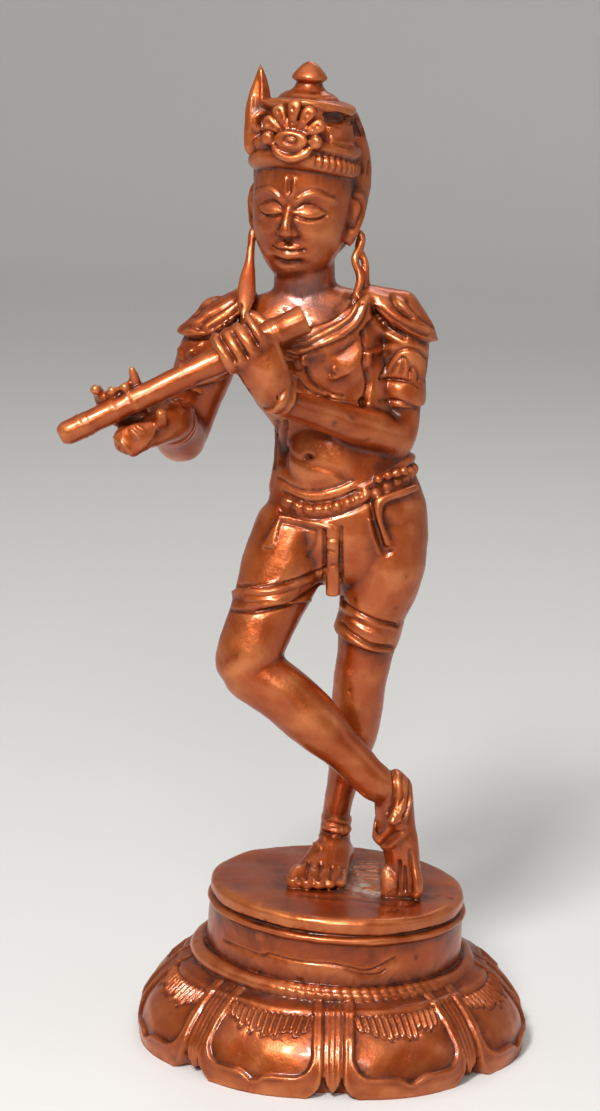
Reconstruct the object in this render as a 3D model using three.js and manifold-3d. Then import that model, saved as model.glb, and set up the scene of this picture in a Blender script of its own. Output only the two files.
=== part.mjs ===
// A small cast copper figure of a standing flute player on a round lotus plinth, one solid piece of metal.
// Sizes are in millimetres and +Z is up. The origin is the centre of the plinth's underside, and the
// figure faces -Y.
import * as THREE from 'three';
import { mergeVertices } from 'three/addons/utils/BufferGeometryUtils.js';
import Module from 'manifold-3d';

const wasm = await Module();
wasm.setup();

// The plinth, from the ground up.
const petalCount = 8;
const petalRadius = 26.3;       // the petals where they are widest, low on their sides
const coreRadius = 23.8;        // the plain core that shows between the petals' lower corners
const petalBow = 1.1;           // how far a petal falls back from its middle to its sides, low down
const panelDepth = 0.45;        // each petal's panel lies this deep inside its raised rim
const valleyDepth = 0.9;        // the valley between two petals, where a narrow leaf lies
const leafCrease = 0.6;         // the leaf's middle stands out of the valley by this much
const lotusHeight = 10.8;
const ropeRadius = 17.8;        // centre line of the rope moulding that lies on the lotus
const ropeThickness = 1.15;
const drumRadius = 16.9;
const drumHeight = 7.3;         // from the lotus to the groove below the top disc
const drumSeat = 2.0;           // how deep the drum runs down into the lotus
const grooveDepth = 0.6;
const grooveHeight = 0.45;
const discRadius = 16.8;
const discThickness = 1.95;
const discRounding = 0.9;
const drumTilt = 2.3;           // degrees: the drum leans towards +X on its lotus
const drumSides = 26;

// The figure, from the plinth's top to the crown's tip.
const figureHeight = 106.5;

const plinthTop = lotusHeight + drumHeight + grooveHeight + discThickness;

// Everything below about the figure is in hundredths of its height, from the plinth's top: x, y, z and then
// two radii, across and front to back.
const share = figureHeight / 100;

// The head leans, turns and bows as one with the crown.
const headCentre = [-6.2, -0.4, 83.0];
const headTurn = 16;            // degrees towards -X
const headBow = 4;              // degrees forward
const headLean = -3;            // degrees

function solidOf(geometry) {
  const bare = geometry.index ? geometry.clone() : geometry;
  bare.deleteAttribute('normal');
  bare.deleteAttribute('uv');
  const merged = mergeVertices(bare, 1e-4);
  return new wasm.Manifold(new wasm.Mesh({
    numProp: 3,
    vertProperties: new Float32Array(merged.attributes.position.array),
    triVerts: new Uint32Array(merged.index.array),
  }));
}

function join(solids) {
  return solids.reduce((whole, next) => whole.add(next));
}

// Places a shape made in hundredths of the figure's height on the plinth.
function onPlinth(geometry) {
  return geometry.scale(share, share, share).translate(0, 0, plinthTop);
}

function moveEach(geometry, place) {
  const spots = geometry.attributes.position;
  const spot = new THREE.Vector3();
  for (let i = 0; i < spots.count; i += 1) {
    spot.fromBufferAttribute(spots, i);
    place(spot);
    spots.setXYZ(i, spot.x, spot.y, spot.z);
  }
  return geometry;
}

// A limb: a sphere drawn out along a smooth line through its stations, oval at each of them. The first and last
// stations are its tips. across is the direction that the first radius lies nearest to. pleats folds its surface
// lengthwise, every second line of it standing in by that share of the radius. A cape is a limb that hangs: its
// sections stay upright, and below its stations only a share of their height is left.
function limb(stations, { around = 12, along = 10, across = [1, 0, 0], blunt = 0.25, pleats = 0, hem = 0 } = {}) {
  const line = new THREE.CatmullRomCurve3(
    stations.map(([x, y, z]) => new THREE.Vector3(x, y, z)), false, 'catmullrom', 0.5);
  const radii = new THREE.CatmullRomCurve3(
    stations.map(([, , , wide, deep = wide]) => new THREE.Vector3(wide, deep, 0)), false, 'catmullrom', 0.5);
  const shape = new THREE.SphereGeometry(1, around, along);
  return moveEach(shape, (spot) => {
    const distance = (1 - spot.y) / 2;
    const ring = Math.hypot(spot.x, spot.z);
    const end = Math.max(0, (Math.abs(spot.y) - (1 - blunt)) / blunt);
    const column = Math.round((Math.atan2(spot.z, spot.x) * around) / (2 * Math.PI));
    const fold = Math.abs(column) % 2 === 1 ? 1 - pleats : 1;
    const fullness = ring < 1e-6 ? 0 : (fold * Math.sqrt(Math.max(0, 1 - end * end))) / ring;
    const centre = line.getPoint(distance);
    const tangent = line.getTangent(distance);
    const wide = new THREE.Vector3(...across);
    if (!hem) wide.projectOnPlane(tangent).normalize();
    const deep = tangent.clone().cross(wide).normalize();
    const radius = radii.getPoint(distance);
    const x = spot.x * fullness * radius.x * (hem && spot.x < 0 ? hem : 1);
    const z = spot.z * fullness * radius.y;
    spot.copy(centre).addScaledVector(wide, x).addScaledVector(deep, z);
  });
}

// A closed band round a limb, for hems, belts, bangles and anklets. profile holds its section as
// [outwards, along] points, and sag lets the band's height change round the limb.
function band({ at, axis = [0, 0, 1], across = [1, 0, 0], radii, profile, sag = () => 0, around = 12 }) {
  const start = Math.max(...radii) + 10;
  const section = profile.concat([profile[0]]).map(([out, up]) => new THREE.Vector2(start + out, up));
  const up = new THREE.Vector3(...axis).normalize();
  const wide = new THREE.Vector3(...across).projectOnPlane(up).normalize();
  const deep = up.clone().cross(wide);
  const shape = new THREE.LatheGeometry(section, around).rotateX(Math.PI / 2);
  return moveEach(shape, (spot) => {
    const angle = Math.atan2(spot.y, spot.x);
    const out = Math.hypot(spot.x, spot.y) - start;
    const x = (radii[0] + out) * Math.cos(angle);
    const y = (radii[1] + out) * Math.sin(angle);
    const z = spot.z + sag(angle);
    spot.set(...at).addScaledVector(wide, x).addScaledVector(deep, y).addScaledVector(up, z);
  });
}

// A band's section: one roll, or several side by side.
function rolls(count, thick, high) {
  const points = [[-thick, -high / 2]];
  for (let i = 0; i < count; i += 1) {
    const middle = high * ((i + 0.5) / count - 0.5);
    if (i > 0) points.push([thick * 0.3, middle - (0.5 * high) / count]);
    points.push([thick, middle]);
  }
  points.push([-thick, high / 2]);
  return points;
}

// A shape turned on the upright axis from [radius, height] points.
function turned(profile, around) {
  return new THREE.LatheGeometry(profile.map(([radius, z]) => new THREE.Vector2(radius, z)), around)
    .rotateX(Math.PI / 2);
}

// How far a lotus petal's surface stands in from its widest outline, at a share of the half petal's width from
// its middle line (0) to the line between two petals (1), where a narrow leaf lies in the valley, and at a share
// of the lotus's height.
function petalInset(sideways, height) {
  const low = 1 - height;
  const bow = petalBow * low * sideways * sideways;
  if (sideways < 0.75) return height > 0.08 ? panelDepth + bow : bow;
  if (sideways < 0.9) return bow;
  const valley = valleyDepth + (petalRadius - coreRadius - valleyDepth) * low * low;
  return sideways < 0.99 ? valley : valley - leafCrease;
}

function lotus() {
  const rows = [0, 0.14, 0.4, 0.7, 1];
  const columns = [0, 0.7, 0.84, 0.92, 1];
  const steps = 2 * (columns.length - 1);
  const outline = rows.map((height) => [sideRadius(height), height * lotusHeight]);
  const shape = turned([[0, 0], ...outline, [0, lotusHeight]], petalCount * steps);
  const petalAngle = (2 * Math.PI) / petalCount;
  return moveEach(shape, (spot) => {
    const radius = Math.hypot(spot.x, spot.y);
    if (radius < 1) return;
    const step = Math.round((Math.atan2(spot.y, spot.x) / petalAngle) * steps) + petalCount * steps;
    const inPetal = step % steps;
    const column = steps / 2 - Math.abs(inPetal - steps / 2);
    const side = inPetal < steps / 2 ? 1 : -1;
    const sideways = columns[columns.length - 1 - column];
    const petal = Math.floor(step / steps) + 0.5;
    const angle = (petal - (side * sideways) / 2) * petalAngle;
    const r = radius - petalInset(sideways, spot.z / lotusHeight);
    spot.set(r * Math.cos(angle), r * Math.sin(angle), spot.z);
  });
}

// The petals' outline seen from the side: a bell, widest a little above the ground and drawn in below that.
function sideRadius(height) {
  const widest = 0.14;
  const top = ropeRadius + ropeThickness / 2;
  const share = height < widest
    ? 1 - 0.25 * (widest - height)
    : Math.cos(((height - widest) / (1 - widest)) * (Math.PI / 2)) ** 0.8;
  return top + (petalRadius - top) * share;
}

function plinth() {
  const parts = [solidOf(lotus())];
  const grooveLow = lotusHeight + drumHeight;
  const discLow = grooveLow + grooveHeight;
  const seat = lotusHeight - drumSeat;
  const drum = turned([
    [0, seat], [ropeRadius, seat], [ropeRadius, lotusHeight], [drumRadius, lotusHeight], [drumRadius, grooveLow],
    [drumRadius - grooveDepth, grooveLow], [discRadius - grooveDepth, discLow], [discRadius, discLow],
    [discRadius, plinthTop - discRounding], [discRadius - discRounding, plinthTop], [0, plinthTop],
  ], drumSides);
  const rope = new THREE.TorusGeometry(ropeRadius, ropeThickness, 5, drumSides).translate(0, 0, lotusHeight);
  for (const ring of [drum, rope]) {
    ring.translate(0, 0, -lotusHeight).rotateY(THREE.MathUtils.degToRad(drumTilt)).translate(0, 0, lotusHeight);
    parts.push(solidOf(ring));
  }
  return join(parts);
}

function trunk() {
  const body = limb([
    [-0.4, 0.6, 37.0, 6.2, 4.4], [0.0, 0.6, 42.0, 9.7, 6.2], [0.1, 0.6, 46.0, 9.9, 6.5],
    [-0.2, 0.5, 50.0, 9.0, 5.9], [-0.5, 0.3, 54.5, 7.7, 5.0], [-1.9, 0.0, 59.5, 7.6, 5.0],
    [-4.2, -0.2, 64.5, 8.8, 5.5], [-5.1, 0.0, 68.5, 9.8, 5.2], [-5.4, 0.3, 71.5, 8.0, 4.0],
    [-5.6, 0.4, 74.0, 4.0, 3.2],
  ], { around: 14, along: 12, blunt: 0.12 });
  const neck = limb([[-5.6, 0.8, 69, 4.2], [-5.8, 0.3, 75, 3.7], [-6.0, 0, 81, 3.7]], { around: 8, along: 3 });
  return [body, neck];
}

// The bent leg crosses in front of the other and stands on its toes.
function bentLeg() {
  return [
    limb([
      [-5.2, 0.6, 48.0, 4.4, 4.8], [-6.4, -0.2, 43.5, 4.9, 5.2], [-7.6, -1.2, 39.5, 4.7, 4.9],
      [-9.1, -2.6, 35.3, 4.4, 4.5], [-10.7, -4.0, 31.2, 4.1, 4.2], [-11.6, -4.6, 28.2, 3.9, 3.9],
      [-12.2, -4.6, 25.2, 3.0, 3.0],
    ], { along: 9 }),
    limb([
      [-14.2, -4.2, 29.2, 2.8, 3.0], [-11.0, -4.7, 27.4, 3.6, 3.6], [-7.3, -5.0, 25.1, 3.6, 3.6],
      [-3.6, -5.2, 21.9, 3.5, 3.5], [-1.0, -5.1, 19.3, 2.9, 3.0], [1.4, -4.9, 17.0, 2.5, 2.6],
      [3.9, -4.4, 14.4, 2.3, 2.4], [6.6, -3.6, 11.9, 2.2, 2.3],
    ], { around: 10, along: 9 }),
    limb([
      [6.5, -2.4, 15.0, 1.9, 2.2], [6.8, -2.9, 12.4, 2.4, 2.7], [7.0, -3.5, 9.5, 2.4, 2.3],
      [7.6, -4.1, 6.5, 2.2, 1.8], [8.2, -4.6, 3.4, 2.1, 1.35], [8.4, -4.9, 1.2, 2.0, 1.1],
      [8.4, -5.0, -0.6, 1.8, 0.9],
    ], { around: 8, along: 6 }),
  ];
}

function straightLeg() {
  return [
    limb([
      [4.3, 0.7, 48.5, 4.8, 5.0], [4.8, 0.4, 43.2, 5.2, 5.4], [4.5, 0.2, 39.0, 5.2, 5.3],
      [3.9, 0.1, 34.5, 4.7, 4.9], [3.0, 0.3, 29.5, 3.7, 3.9], [2.4, 0.4, 25.6, 3.4, 3.6],
      [2.0, 1.1, 21.0, 3.2, 3.6], [1.4, 2.0, 16.0, 2.6, 3.0], [0.6, 3.0, 11.5, 1.95, 2.2],
      [0.0, 4.0, 7.8, 1.75, 2.0], [-0.2, 4.7, 4.5, 2.0, 2.3], [0.1, 5.0, 1.2, 2.0, 2.4],
    ], { along: 12, blunt: 0.1 }),
    limb([
      [0.7, 7.4, 1.5, 1.8, 1.6], [0.1, 5.2, 2.0, 2.4, 2.3], [-0.6, 2.6, 2.4, 2.7, 2.6],
      [-1.2, 0.4, 1.8, 3.0, 2.1], [-1.8, -1.6, 1.2, 3.4, 1.4], [-2.2, -3.2, 0.6, 3.5, 0.9],
    ], { around: 8, along: 6 }),
  ];
}

// Toes of both feet. The standing foot's lie flat and fan out, and the bent leg's point down at the plinth.
function toes() {
  const all = [];
  const standing = 5;
  for (let i = 0; i < standing; i += 1) {
    const x = -4.7 + 1.55 * i - (i === 0 ? 0.25 : 0);
    const reach = -4.7 + 0.5 * Math.abs(i - 1.2);
    const thick = i === 0 ? 0.95 : 0.72;
    const root = [x * 0.8 - 0.3, reach + 2.8, 1.1, thick * 0.9];
    all.push(limb([root, [x * 0.94, reach + 1.2, 0.8, thick], [x, reach, 0.5, thick]], { around: 5, along: 3 }));
  }
  const pointed = 4;
  for (let i = 0; i < pointed; i += 1) {
    const x = 6.7 + 0.78 * i;
    all.push(limb([[x, -4.9, 3.4, 0.5], [x + 0.05, -5.6, 1.6, 0.55], [x, -5.8, -0.5, 0.5]], { around: 4, along: 3 }));
  }
  all.push(limb([[8.9, -4.6, 6.6, 0.8], [9.5, -5.3, 3.6, 0.85], [9.9, -5.9, -0.6, 0.75]], { around: 5, along: 3 }));
  return all;
}

function arms() {
  const vertical = { across: [0, 0, 1] };
  return [
    limb([
      [5.6, 0.6, 72.2, 2.9, 3.4], [6.3, 0.5, 68.5, 3.1, 3.5], [6.4, 0.3, 64.5, 2.95, 3.1],
      [6.4, 0.1, 60.5, 2.5, 2.7], [6.2, -0.3, 57.0, 2.5, 2.6], [6.2, -0.5, 53.6, 1.9, 2.1],
    ], { around: 9, along: 7 }),
    limb([
      [8.3, 0.6, 55.2, 1.8, 1.8], [5.9, -1.2, 56.0, 2.5, 2.5], [2.6, -3.8, 57.1, 2.4, 2.4],
      [-0.5, -6.0, 58.2, 2.15, 2.15], [-4.2, -8.9, 59.7, 1.85, 1.8], [-8.0, -11.8, 61.3, 1.65, 1.5],
      [-10.2, -13.0, 63.4, 1.6, 1.3],
    ], { around: 10, along: 8, ...vertical }),
    limb([
      [-14.4, 0.5, 72.0, 2.9, 3.4], [-15.8, 0.7, 68.5, 3.3, 3.5], [-17.4, 0.9, 64.0, 3.7, 3.4],
      [-18.8, 1.2, 59.5, 3.3, 3.0], [-19.7, 1.2, 56.0, 3.0, 2.8], [-20.2, 0.8, 52.6, 2.2, 2.4],
    ], { around: 9, along: 7 }),
    limb([
      [-19.7, 2.4, 53.6, 2.4], [-20.2, -0.6, 54.7, 3.0, 2.9], [-20.7, -4.4, 56.3, 2.7],
      [-21.2, -8.0, 57.9, 2.25, 2.2], [-22.4, -10.8, 58.0, 2.0, 1.8], [-24.2, -12.3, 57.4, 2.2, 1.7],
      [-26.2, -13.0, 57.2, 1.8, 1.5], [-27.6, -13.1, 57.6, 1.2, 1.1],
    ], { around: 8, along: 9 }),
  ];
}

// The flute rests in the fingers of both hands. Its length runs from the low end at -X to the high end.
const fluteLow = [-33.5, -14.0, 56.7];
const fluteHigh = [-5.6, -9.5, 70.6];
const fluteRadii = [1.35, 1.7];

function fluteSpot(distance) {
  return new THREE.Vector3(...fluteLow).lerp(new THREE.Vector3(...fluteHigh), distance);
}

function flute() {
  const low = new THREE.Vector3(...fluteLow);
  const length = low.distanceTo(new THREE.Vector3(...fluteHigh));
  const [thin, thick] = fluteRadii;
  const profile = [[0, 0], [thin * 0.75, 0], [thin, 0.45]];
  for (const ring of [0.09, 0.9]) {
    const radius = thin + (thick - thin) * ring;
    const at = ring * length;
    profile.push([radius, at - 0.4], [radius + 0.3, at], [radius, at + 0.4]);
  }
  profile.push([thick, length], [0, length]);
  const shape = new THREE.LatheGeometry(profile.map((p) => new THREE.Vector2(...p)), 10);
  const turn = new THREE.Quaternion().setFromUnitVectors(
    new THREE.Vector3(0, 1, 0), new THREE.Vector3(...fluteHigh).sub(low).normalize());
  return shape.applyQuaternion(turn).translate(...fluteLow);
}

// The near hand: its back faces forward and its fingers fold up over the flute.
function nearHand() {
  const parts = [limb([
    [-7.9, -11.8, 60.6, 1.8, 1.2], [-9.4, -12.7, 63.2, 2.5, 1.35], [-10.6, -13.2, 65.6, 2.7, 1.3],
    [-11.6, -13.2, 68.2, 2.3, 1.0],
  ], { around: 8, along: 5 })];
  const fingers = 4;
  for (let i = 0; i < fingers; i += 1) {
    const over = fluteSpot(0.655 + 0.038 * i);
    const knuckle = [-13.6 + 1.02 * i, -14.4, 66.0 + 0.4 * i, 0.72];
    const bend = [over.x + 0.2, over.y - 1.5, over.z + 1.4, 0.68];
    const tip = [over.x - 0.6, over.y + 0.6, over.z + 2.4, 0.6];
    parts.push(limb([[-11.2 + 0.4 * i, -13.5, 64.6, 0.6], knuckle, bend, tip], { around: 5, along: 5 }));
  }
  parts.push(limb([
    [-10.0, -13.2, 66.6, 0.7], [-10.6, -13.6, 68.4, 0.72], [-11.4, -12.9, 70.2, 0.66], [-12.0, -12.0, 71.2, 0.5],
  ], { around: 5, along: 4 }));
  return parts;
}

// The far hand holds the flute from below, with its thumb in front and its fingers up behind.
function farHand() {
  const parts = [];
  const fingers = 4;
  for (let i = 0; i < fingers; i += 1) {
    const over = fluteSpot(0.155 + 0.05 * i);
    const raised = i === fingers - 1 ? 2.4 : 0;
    parts.push(limb([
      [-26.4 + 0.5 * i, -12.0, 57.8, 0.85], [over.x + 0.6, over.y + 2.3, over.z + 0.2, 0.75],
      [over.x + 0.1, over.y + 1.9, over.z + 2.2, 0.65], [over.x - 0.3, over.y + 0.4, over.z + 3.0 + raised, 0.55],
    ], { around: 5, along: 5 }));
  }
  parts.push(limb([
    [-22.6, -11.4, 57.2, 1.0], [-22.0, -13.2, 58.6, 0.9], [-22.0, -13.4, 60.4, 0.7],
  ], { around: 6, along: 5 }));
  return parts;
}

// The head's own frame: its middle is the origin, it looks along -Y and it is upright.
function head() {
  const parts = [
    limb([
      [0, -3.6, -7.6, 1.6, 1.6], [0, -2.5, -6.5, 3.5, 3.3], [0, -1.0, -4.0, 5.1, 4.9],
      [0, -0.2, 0, 5.9, 5.9], [0, 0.3, 3.6, 5.9, 6.1], [0, 0.5, 6.6, 5.6, 5.8], [0, 0.5, 9.0, 4.0, 4.0],
    ], { around: 14, along: 11, blunt: 0.14 }),
    // hair, which runs up behind the crown
    limb([
      [0, 2.6, -6.2, 3.4, 2.2], [0, 3.6, -2.6, 5.9, 3.9], [0, 3.6, 1.6, 7.1, 4.8], [0, 3.2, 5.6, 7.2, 4.9],
      [0, 2.4, 9.2, 6.1, 4.5], [0, 1.6, 11.6, 5.1, 4.0],
    ], { around: 10, along: 8, blunt: 0.1 }),
    limb([[0, -5.4, 1.6, 0.5, 0.5], [0, -6.1, -0.4, 0.5, 0.6], [0, -6.6, -2.0, 0.8, 0.75], [0, -5.7, -2.9, 0.8, 0.5]],
      { around: 6, along: 5 }),
  ];
  const lips = [{ z: -4.2, deep: 0.45, wide: 1.5 }, { z: -4.95, deep: 0.5, wide: 1.2 }];
  for (const { z, deep, wide } of lips) {
    parts.push(limb([[-wide, -4.8, z + 0.1, 0.3], [0, -5.6, z, deep], [wide, -4.8, z + 0.1, 0.3]],
      { around: 5, along: 5, across: [0, 0, 1] }));
  }
  for (const side of [-1, 1]) {
    parts.push(
      // brow, lidded eye, ear and its long lobe
      limb([[side * 0.7, -5.75, 1.1, 0.25], [side * 2.4, -5.4, 1.9, 0.32], [side * 4.4, -4.0, 1.1, 0.2]],
        { around: 5, along: 6, across: [0, 0, 1] }),
      limb([[side * 0.9, -4.9, -0.1, 0.3, 0.5], [side * 2.3, -4.8, 0.1, 0.75, 0.7],
        [side * 3.9, -3.6, 0.0, 0.3, 0.5]], { around: 5, along: 5, across: [0, 0, 1] }),
      limb([[side * 5.9, 1.2, 2.2, 0.9, 0.9], [side * 6.4, 1.4, 0.4, 1.0, 1.2], [side * 6.1, 1.0, -1.8, 0.9, 0.9],
        [side * 5.8, 0.4, -4.2, 0.7, 0.6]], { around: 5, along: 5 }),
    );
  }
  return [...parts, ...crown()];
}

// The crown: two rolled bands, a drum, a stepped dome and a pointed cap. All but the dome and cap rise to the
// front, like a diadem.
function crown() {
  const arch = 1.2;
  const cap = turned([
    [0, 4.0], [6.3, 4.1], [6.7, 5.1], [6.3, 6.1], [6.6, 6.9], [5.8, 7.8], [5.4, 11.0], [5.8, 11.8], [5.2, 12.4],
    [3.3, 13.0], [2.8, 13.3], [1.5, 14.4], [2.1, 15.4], [1.0, 16.5], [0, 17.1],
  ], 16);
  moveEach(cap, (spot) => {
    const low = THREE.MathUtils.clamp((13.2 - spot.z) / 0.8, 0, 1);
    spot.z += arch * low * Math.max(0, -spot.y / 6) ** 1.5;
  });
  const parts = [cap];
  // medallion in front, with a fan of leaves behind it and a bead at each side
  const middle = [0.1, 8.6];
  parts.push(limb([[0.1, -6.2, 8.6, 1.6, 1.3], [0.1, -7.1, 8.6, 1.9, 1.5], [0.1, -7.5, 8.6, 1.3, 1.0]],
    { around: 8, along: 4 }));
  const leaves = 5;
  for (let i = 0; i < leaves; i += 1) {
    const spread = THREE.MathUtils.degToRad((i - (leaves - 1) / 2) * 30);
    const reach = 4.3 - 0.2 * Math.abs(i - (leaves - 1) / 2);
    const [x, z] = [Math.sin(spread) * reach, Math.cos(spread) * reach];
    parts.push(limb([
      [middle[0] + x * 0.2, -6.4, middle[1] + z * 0.2, 0.35], [middle[0] + x * 0.7, -6.3, middle[1] + z * 0.7, 0.55],
      [middle[0] + x, -5.9, middle[1] + z, 0.4],
    ], { around: 4, along: 3 }));
  }
  for (const side of [-1, 1]) {
    parts.push(limb([[side * 2.5, -5.2, 8.4, 0.8], [side * 2.8, -6.2, 8.4, 0.9], [side * 2.8, -6.8, 8.4, 0.7]],
      { around: 5, along: 3 }));
  }
  return parts;
}

// The tall leaf at the side of the crown is in the figure's frame, as are the ear ornaments.
function ornaments() {
  const flat = { around: 6, along: 5 };
  return [
    limb([[-11.5, -2.4, 89.6, 1.4, 0.9], [-11.6, -2.6, 93.5, 1.6, 0.65], [-11.6, -2.4, 96.5, 1.2, 0.6],
      [-11.5, -2.1, 99.6, 0.3, 0.35]], flat),
    limb([[0.6, 0.6, 80.0, 0.6], [1.1, 0.2, 77.0, 0.75], [1.2, -0.6, 74.4, 0.85], [1.6, -1.6, 71.8, 0.7]], flat),
    limb([[-12.2, -0.6, 79.6, 0.5], [-12.4, -1.6, 76.8, 0.5], [-12.1, -2.8, 74.6, 0.95], [-11.9, -4.4, 71.6, 1.0],
      [-12.0, -5.2, 69.4, 0.4]], flat),
  ];
}

// Shoulder capes of pleated cloth, with pointed outer corners. Their stations run along the hem.
function capes() {
  const cloth = { around: 14, along: 7, across: [0, 0, 1], pleats: 0.1, hem: 0.2 };
  return [
    limb([[0.8, 0.3, 73.0, 1.0, 2.4], [2.6, 0.2, 71.9, 2.1, 4.0], [5.1, 0.1, 69.9, 3.8, 4.3],
      [7.2, 0.1, 68.8, 4.4, 4.0], [9.0, 0, 68.0, 2.8, 3.0], [10.5, 0, 67.6, 0.4, 0.8]], cloth),
    limb([[-11.4, 0.3, 72.6, 1.4, 2.4], [-13.5, 0.2, 70.6, 2.8, 4.0], [-15.9, 0.1, 68.7, 3.4, 4.2],
      [-18.2, 0, 67.9, 2.8, 3.5], [-20.0, 0, 67.8, 1.2, 2.2], [-20.9, 0, 67.9, 0.4, 0.8]], cloth),
  ];
}

// A pleated cowl hangs across the chest under a pendant, and its end falls behind the side of the waist.
function scarf() {
  return [
    limb([
      [2.4, -1.6, 73.2, 0.8, 1.2], [1.0, -4.0, 70.6, 1.6, 1.1], [-2.2, -5.1, 67.8, 2.1, 1.0],
      [-6.3, -5.4, 66.8, 2.1, 1.0], [-10.4, -4.9, 67.9, 2.0, 1.1], [-13.0, -3.2, 70.6, 1.4, 1.1],
    ], { around: 10, along: 6, across: [0, 0, 1], pleats: 0.22 }),
    limb([[-8.2, -3.4, 72.4, 0.9], [-8.2, -4.6, 72.0, 1.1], [-8.2, -5.2, 71.8, 0.7]], { around: 7, along: 4 }),
    limb([[-9.6, 1.6, 66.0, 0.9, 1.6], [-8.4, 1.4, 58.0, 0.7, 1.8], [-8.2, 1.2, 53.0, 0.7, 1.8],
      [-9.0, 1.2, 48.0, 0.7, 1.6]], { around: 6, along: 5 }),
  ];
}

// What is worn at the waist: a roll of cloth, a beaded belt under it, a pleat in the middle and two hanging ends.
function waist() {
  // the belts dip in front: the front is at -90 degrees round the body
  const dip = (depth) => (angle) => -depth * Math.max(0, -Math.sin(angle)) ** 1.5;
  return [
    band({ at: [-0.2, 0.5, 52.4], radii: [8.2, 5.3], profile: rolls(1, 0.5, 1.3), sag: dip(3.2) }),
    band({ at: [0.0, 0.5, 50.2], radii: [9.1, 6.0], profile: rolls(1, 0.8, 2.0), sag: dip(2.8) }),
    limb([[-1.6, -5.6, 47.2, 0.9, 0.7], [-1.6, -5.6, 43.0, 0.85, 0.7], [-1.5, -4.8, 37.2, 0.8, 0.7]],
      { around: 6, along: 5 }),
    limb([[6.6, -4.2, 50.6, 0.6], [3.9, -5.2, 48.8, 0.65], [4.0, -5.4, 45.8, 0.7], [5.0, -5.2, 43.2, 0.5]],
      { around: 5, along: 5 }),
  ];
}

// Hems of the short skirt cloth, wrapped round both thighs.
function hems() {
  return [
    band({ at: [-8.7, -2.2, 36.3], axis: [0.33, 0.26, 0.9], radii: [4.55, 4.75], profile: rolls(3, 0.5, 3.0) }),
    band({ at: [3.5, 0.1, 32.5], axis: [0.26, 0.1, 0.95], radii: [4.55, 4.8], profile: rolls(3, 0.5, 3.4),
      sag: (angle) => -1.0 * Math.max(0, -Math.sin(angle)) }),
  ];
}

// Armlets, bangles and anklets.
function bangles() {
  const wristLine = [-0.76, -0.58, 0.35];
  const farWristLine = [-0.12, -0.9, 0.4];
  return [
    band({ at: [6.4, 0.1, 61.2], radii: [2.5, 2.75], profile: rolls(2, 0.5, 3.0), around: 10 }),
    band({ at: [-17.9, 1.0, 62.6], axis: [-0.3, 0, 0.95], radii: [3.6, 3.3], profile: rolls(1, 0.5, 1.8),
      around: 10 }),
    band({ at: [-7.7, -11.45, 61.2], axis: wristLine, across: [0, 0, 1], radii: [1.75, 1.6],
      profile: rolls(2, 0.45, 2.0), around: 9 }),
    band({ at: [-21.0, -6.4, 57.25], axis: farWristLine, radii: [2.5, 2.5], profile: rolls(2, 0.45, 2.6),
      around: 9 }),
    band({ at: [-0.1, 4.3, 6.4], radii: [1.8, 2.1], profile: rolls(1, 0.5, 1.4), around: 9 }),
    // a double ring hangs from the raised heel across the bent leg's instep
    band({ at: [7.0, -3.6, 10.3], axis: [-0.75, -0.35, 0.55], across: [0, 1, 0], radii: [2.8, 3.4],
      profile: rolls(2, 0.45, 2.2) }),
  ];
}

// A low apron of metal where the feet run into the plinth.
function footing() {
  return limb([[-3.4, -2.2, -0.1, 2.6, 0.45], [2.0, 0.2, -0.2, 5.0, 0.5], [8.8, -4.6, -0.5, 2.4, 0.4]],
    { around: 7, along: 4, across: [0, 1, 0] });
}

function figure() {
  const [bow, lean, turn] = [headBow, -headLean, -headTurn].map(THREE.MathUtils.degToRad);
  const pose = new THREE.Matrix4().makeRotationFromEuler(new THREE.Euler(bow, lean, turn, 'ZYX'));
  const headParts = head().map((shape) => shape.applyMatrix4(pose).translate(...headCentre));
  const parts = [
    ...trunk(), ...bentLeg(), ...straightLeg(), ...toes(), ...arms(), flute(), ...nearHand(), ...farHand(),
    ...headParts, ...ornaments(), ...capes(), ...scarf(), ...waist(), ...hems(), ...bangles(), footing(),
  ];
  return join(parts.map((shape) => solidOf(onPlinth(shape))));
}

function meshOf(name, solid, material) {
  const found = solid.getMesh();
  const geometry = new THREE.BufferGeometry();
  geometry.setAttribute('position', new THREE.BufferAttribute(new Float32Array(found.vertProperties), 3));
  geometry.setIndex(new THREE.BufferAttribute(new Uint32Array(found.triVerts), 1));
  geometry.computeVertexNormals();
  const mesh = new THREE.Mesh(geometry, material);
  mesh.name = name;
  return mesh;
}

const castCopper = new THREE.MeshStandardMaterial({ color: 0x9a4a22, roughness: 0.32, metalness: 1 });

const group = new THREE.Group();
group.add(meshOf('krishna_figure', plinth().add(figure()), castCopper));

export default group;
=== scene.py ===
# A small cast copper flute player on a round lotus plinth, one solid casting finished by hand.
import math
import bpy
import numpy as np
from mathutils import Matrix, Vector


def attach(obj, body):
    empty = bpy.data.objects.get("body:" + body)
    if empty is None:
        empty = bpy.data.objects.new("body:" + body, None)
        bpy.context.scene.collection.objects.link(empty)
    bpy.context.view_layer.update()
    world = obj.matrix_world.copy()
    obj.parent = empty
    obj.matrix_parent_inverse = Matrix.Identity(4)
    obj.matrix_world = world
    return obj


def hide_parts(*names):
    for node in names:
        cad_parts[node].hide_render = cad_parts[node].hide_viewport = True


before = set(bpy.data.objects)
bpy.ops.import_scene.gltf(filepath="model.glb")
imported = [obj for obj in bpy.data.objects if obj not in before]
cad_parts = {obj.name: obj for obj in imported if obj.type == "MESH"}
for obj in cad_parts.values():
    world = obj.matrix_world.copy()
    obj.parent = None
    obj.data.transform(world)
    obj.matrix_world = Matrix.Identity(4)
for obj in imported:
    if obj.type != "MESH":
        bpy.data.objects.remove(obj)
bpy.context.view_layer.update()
bpy.ops.object.select_all(action="DESELECT")
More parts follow.
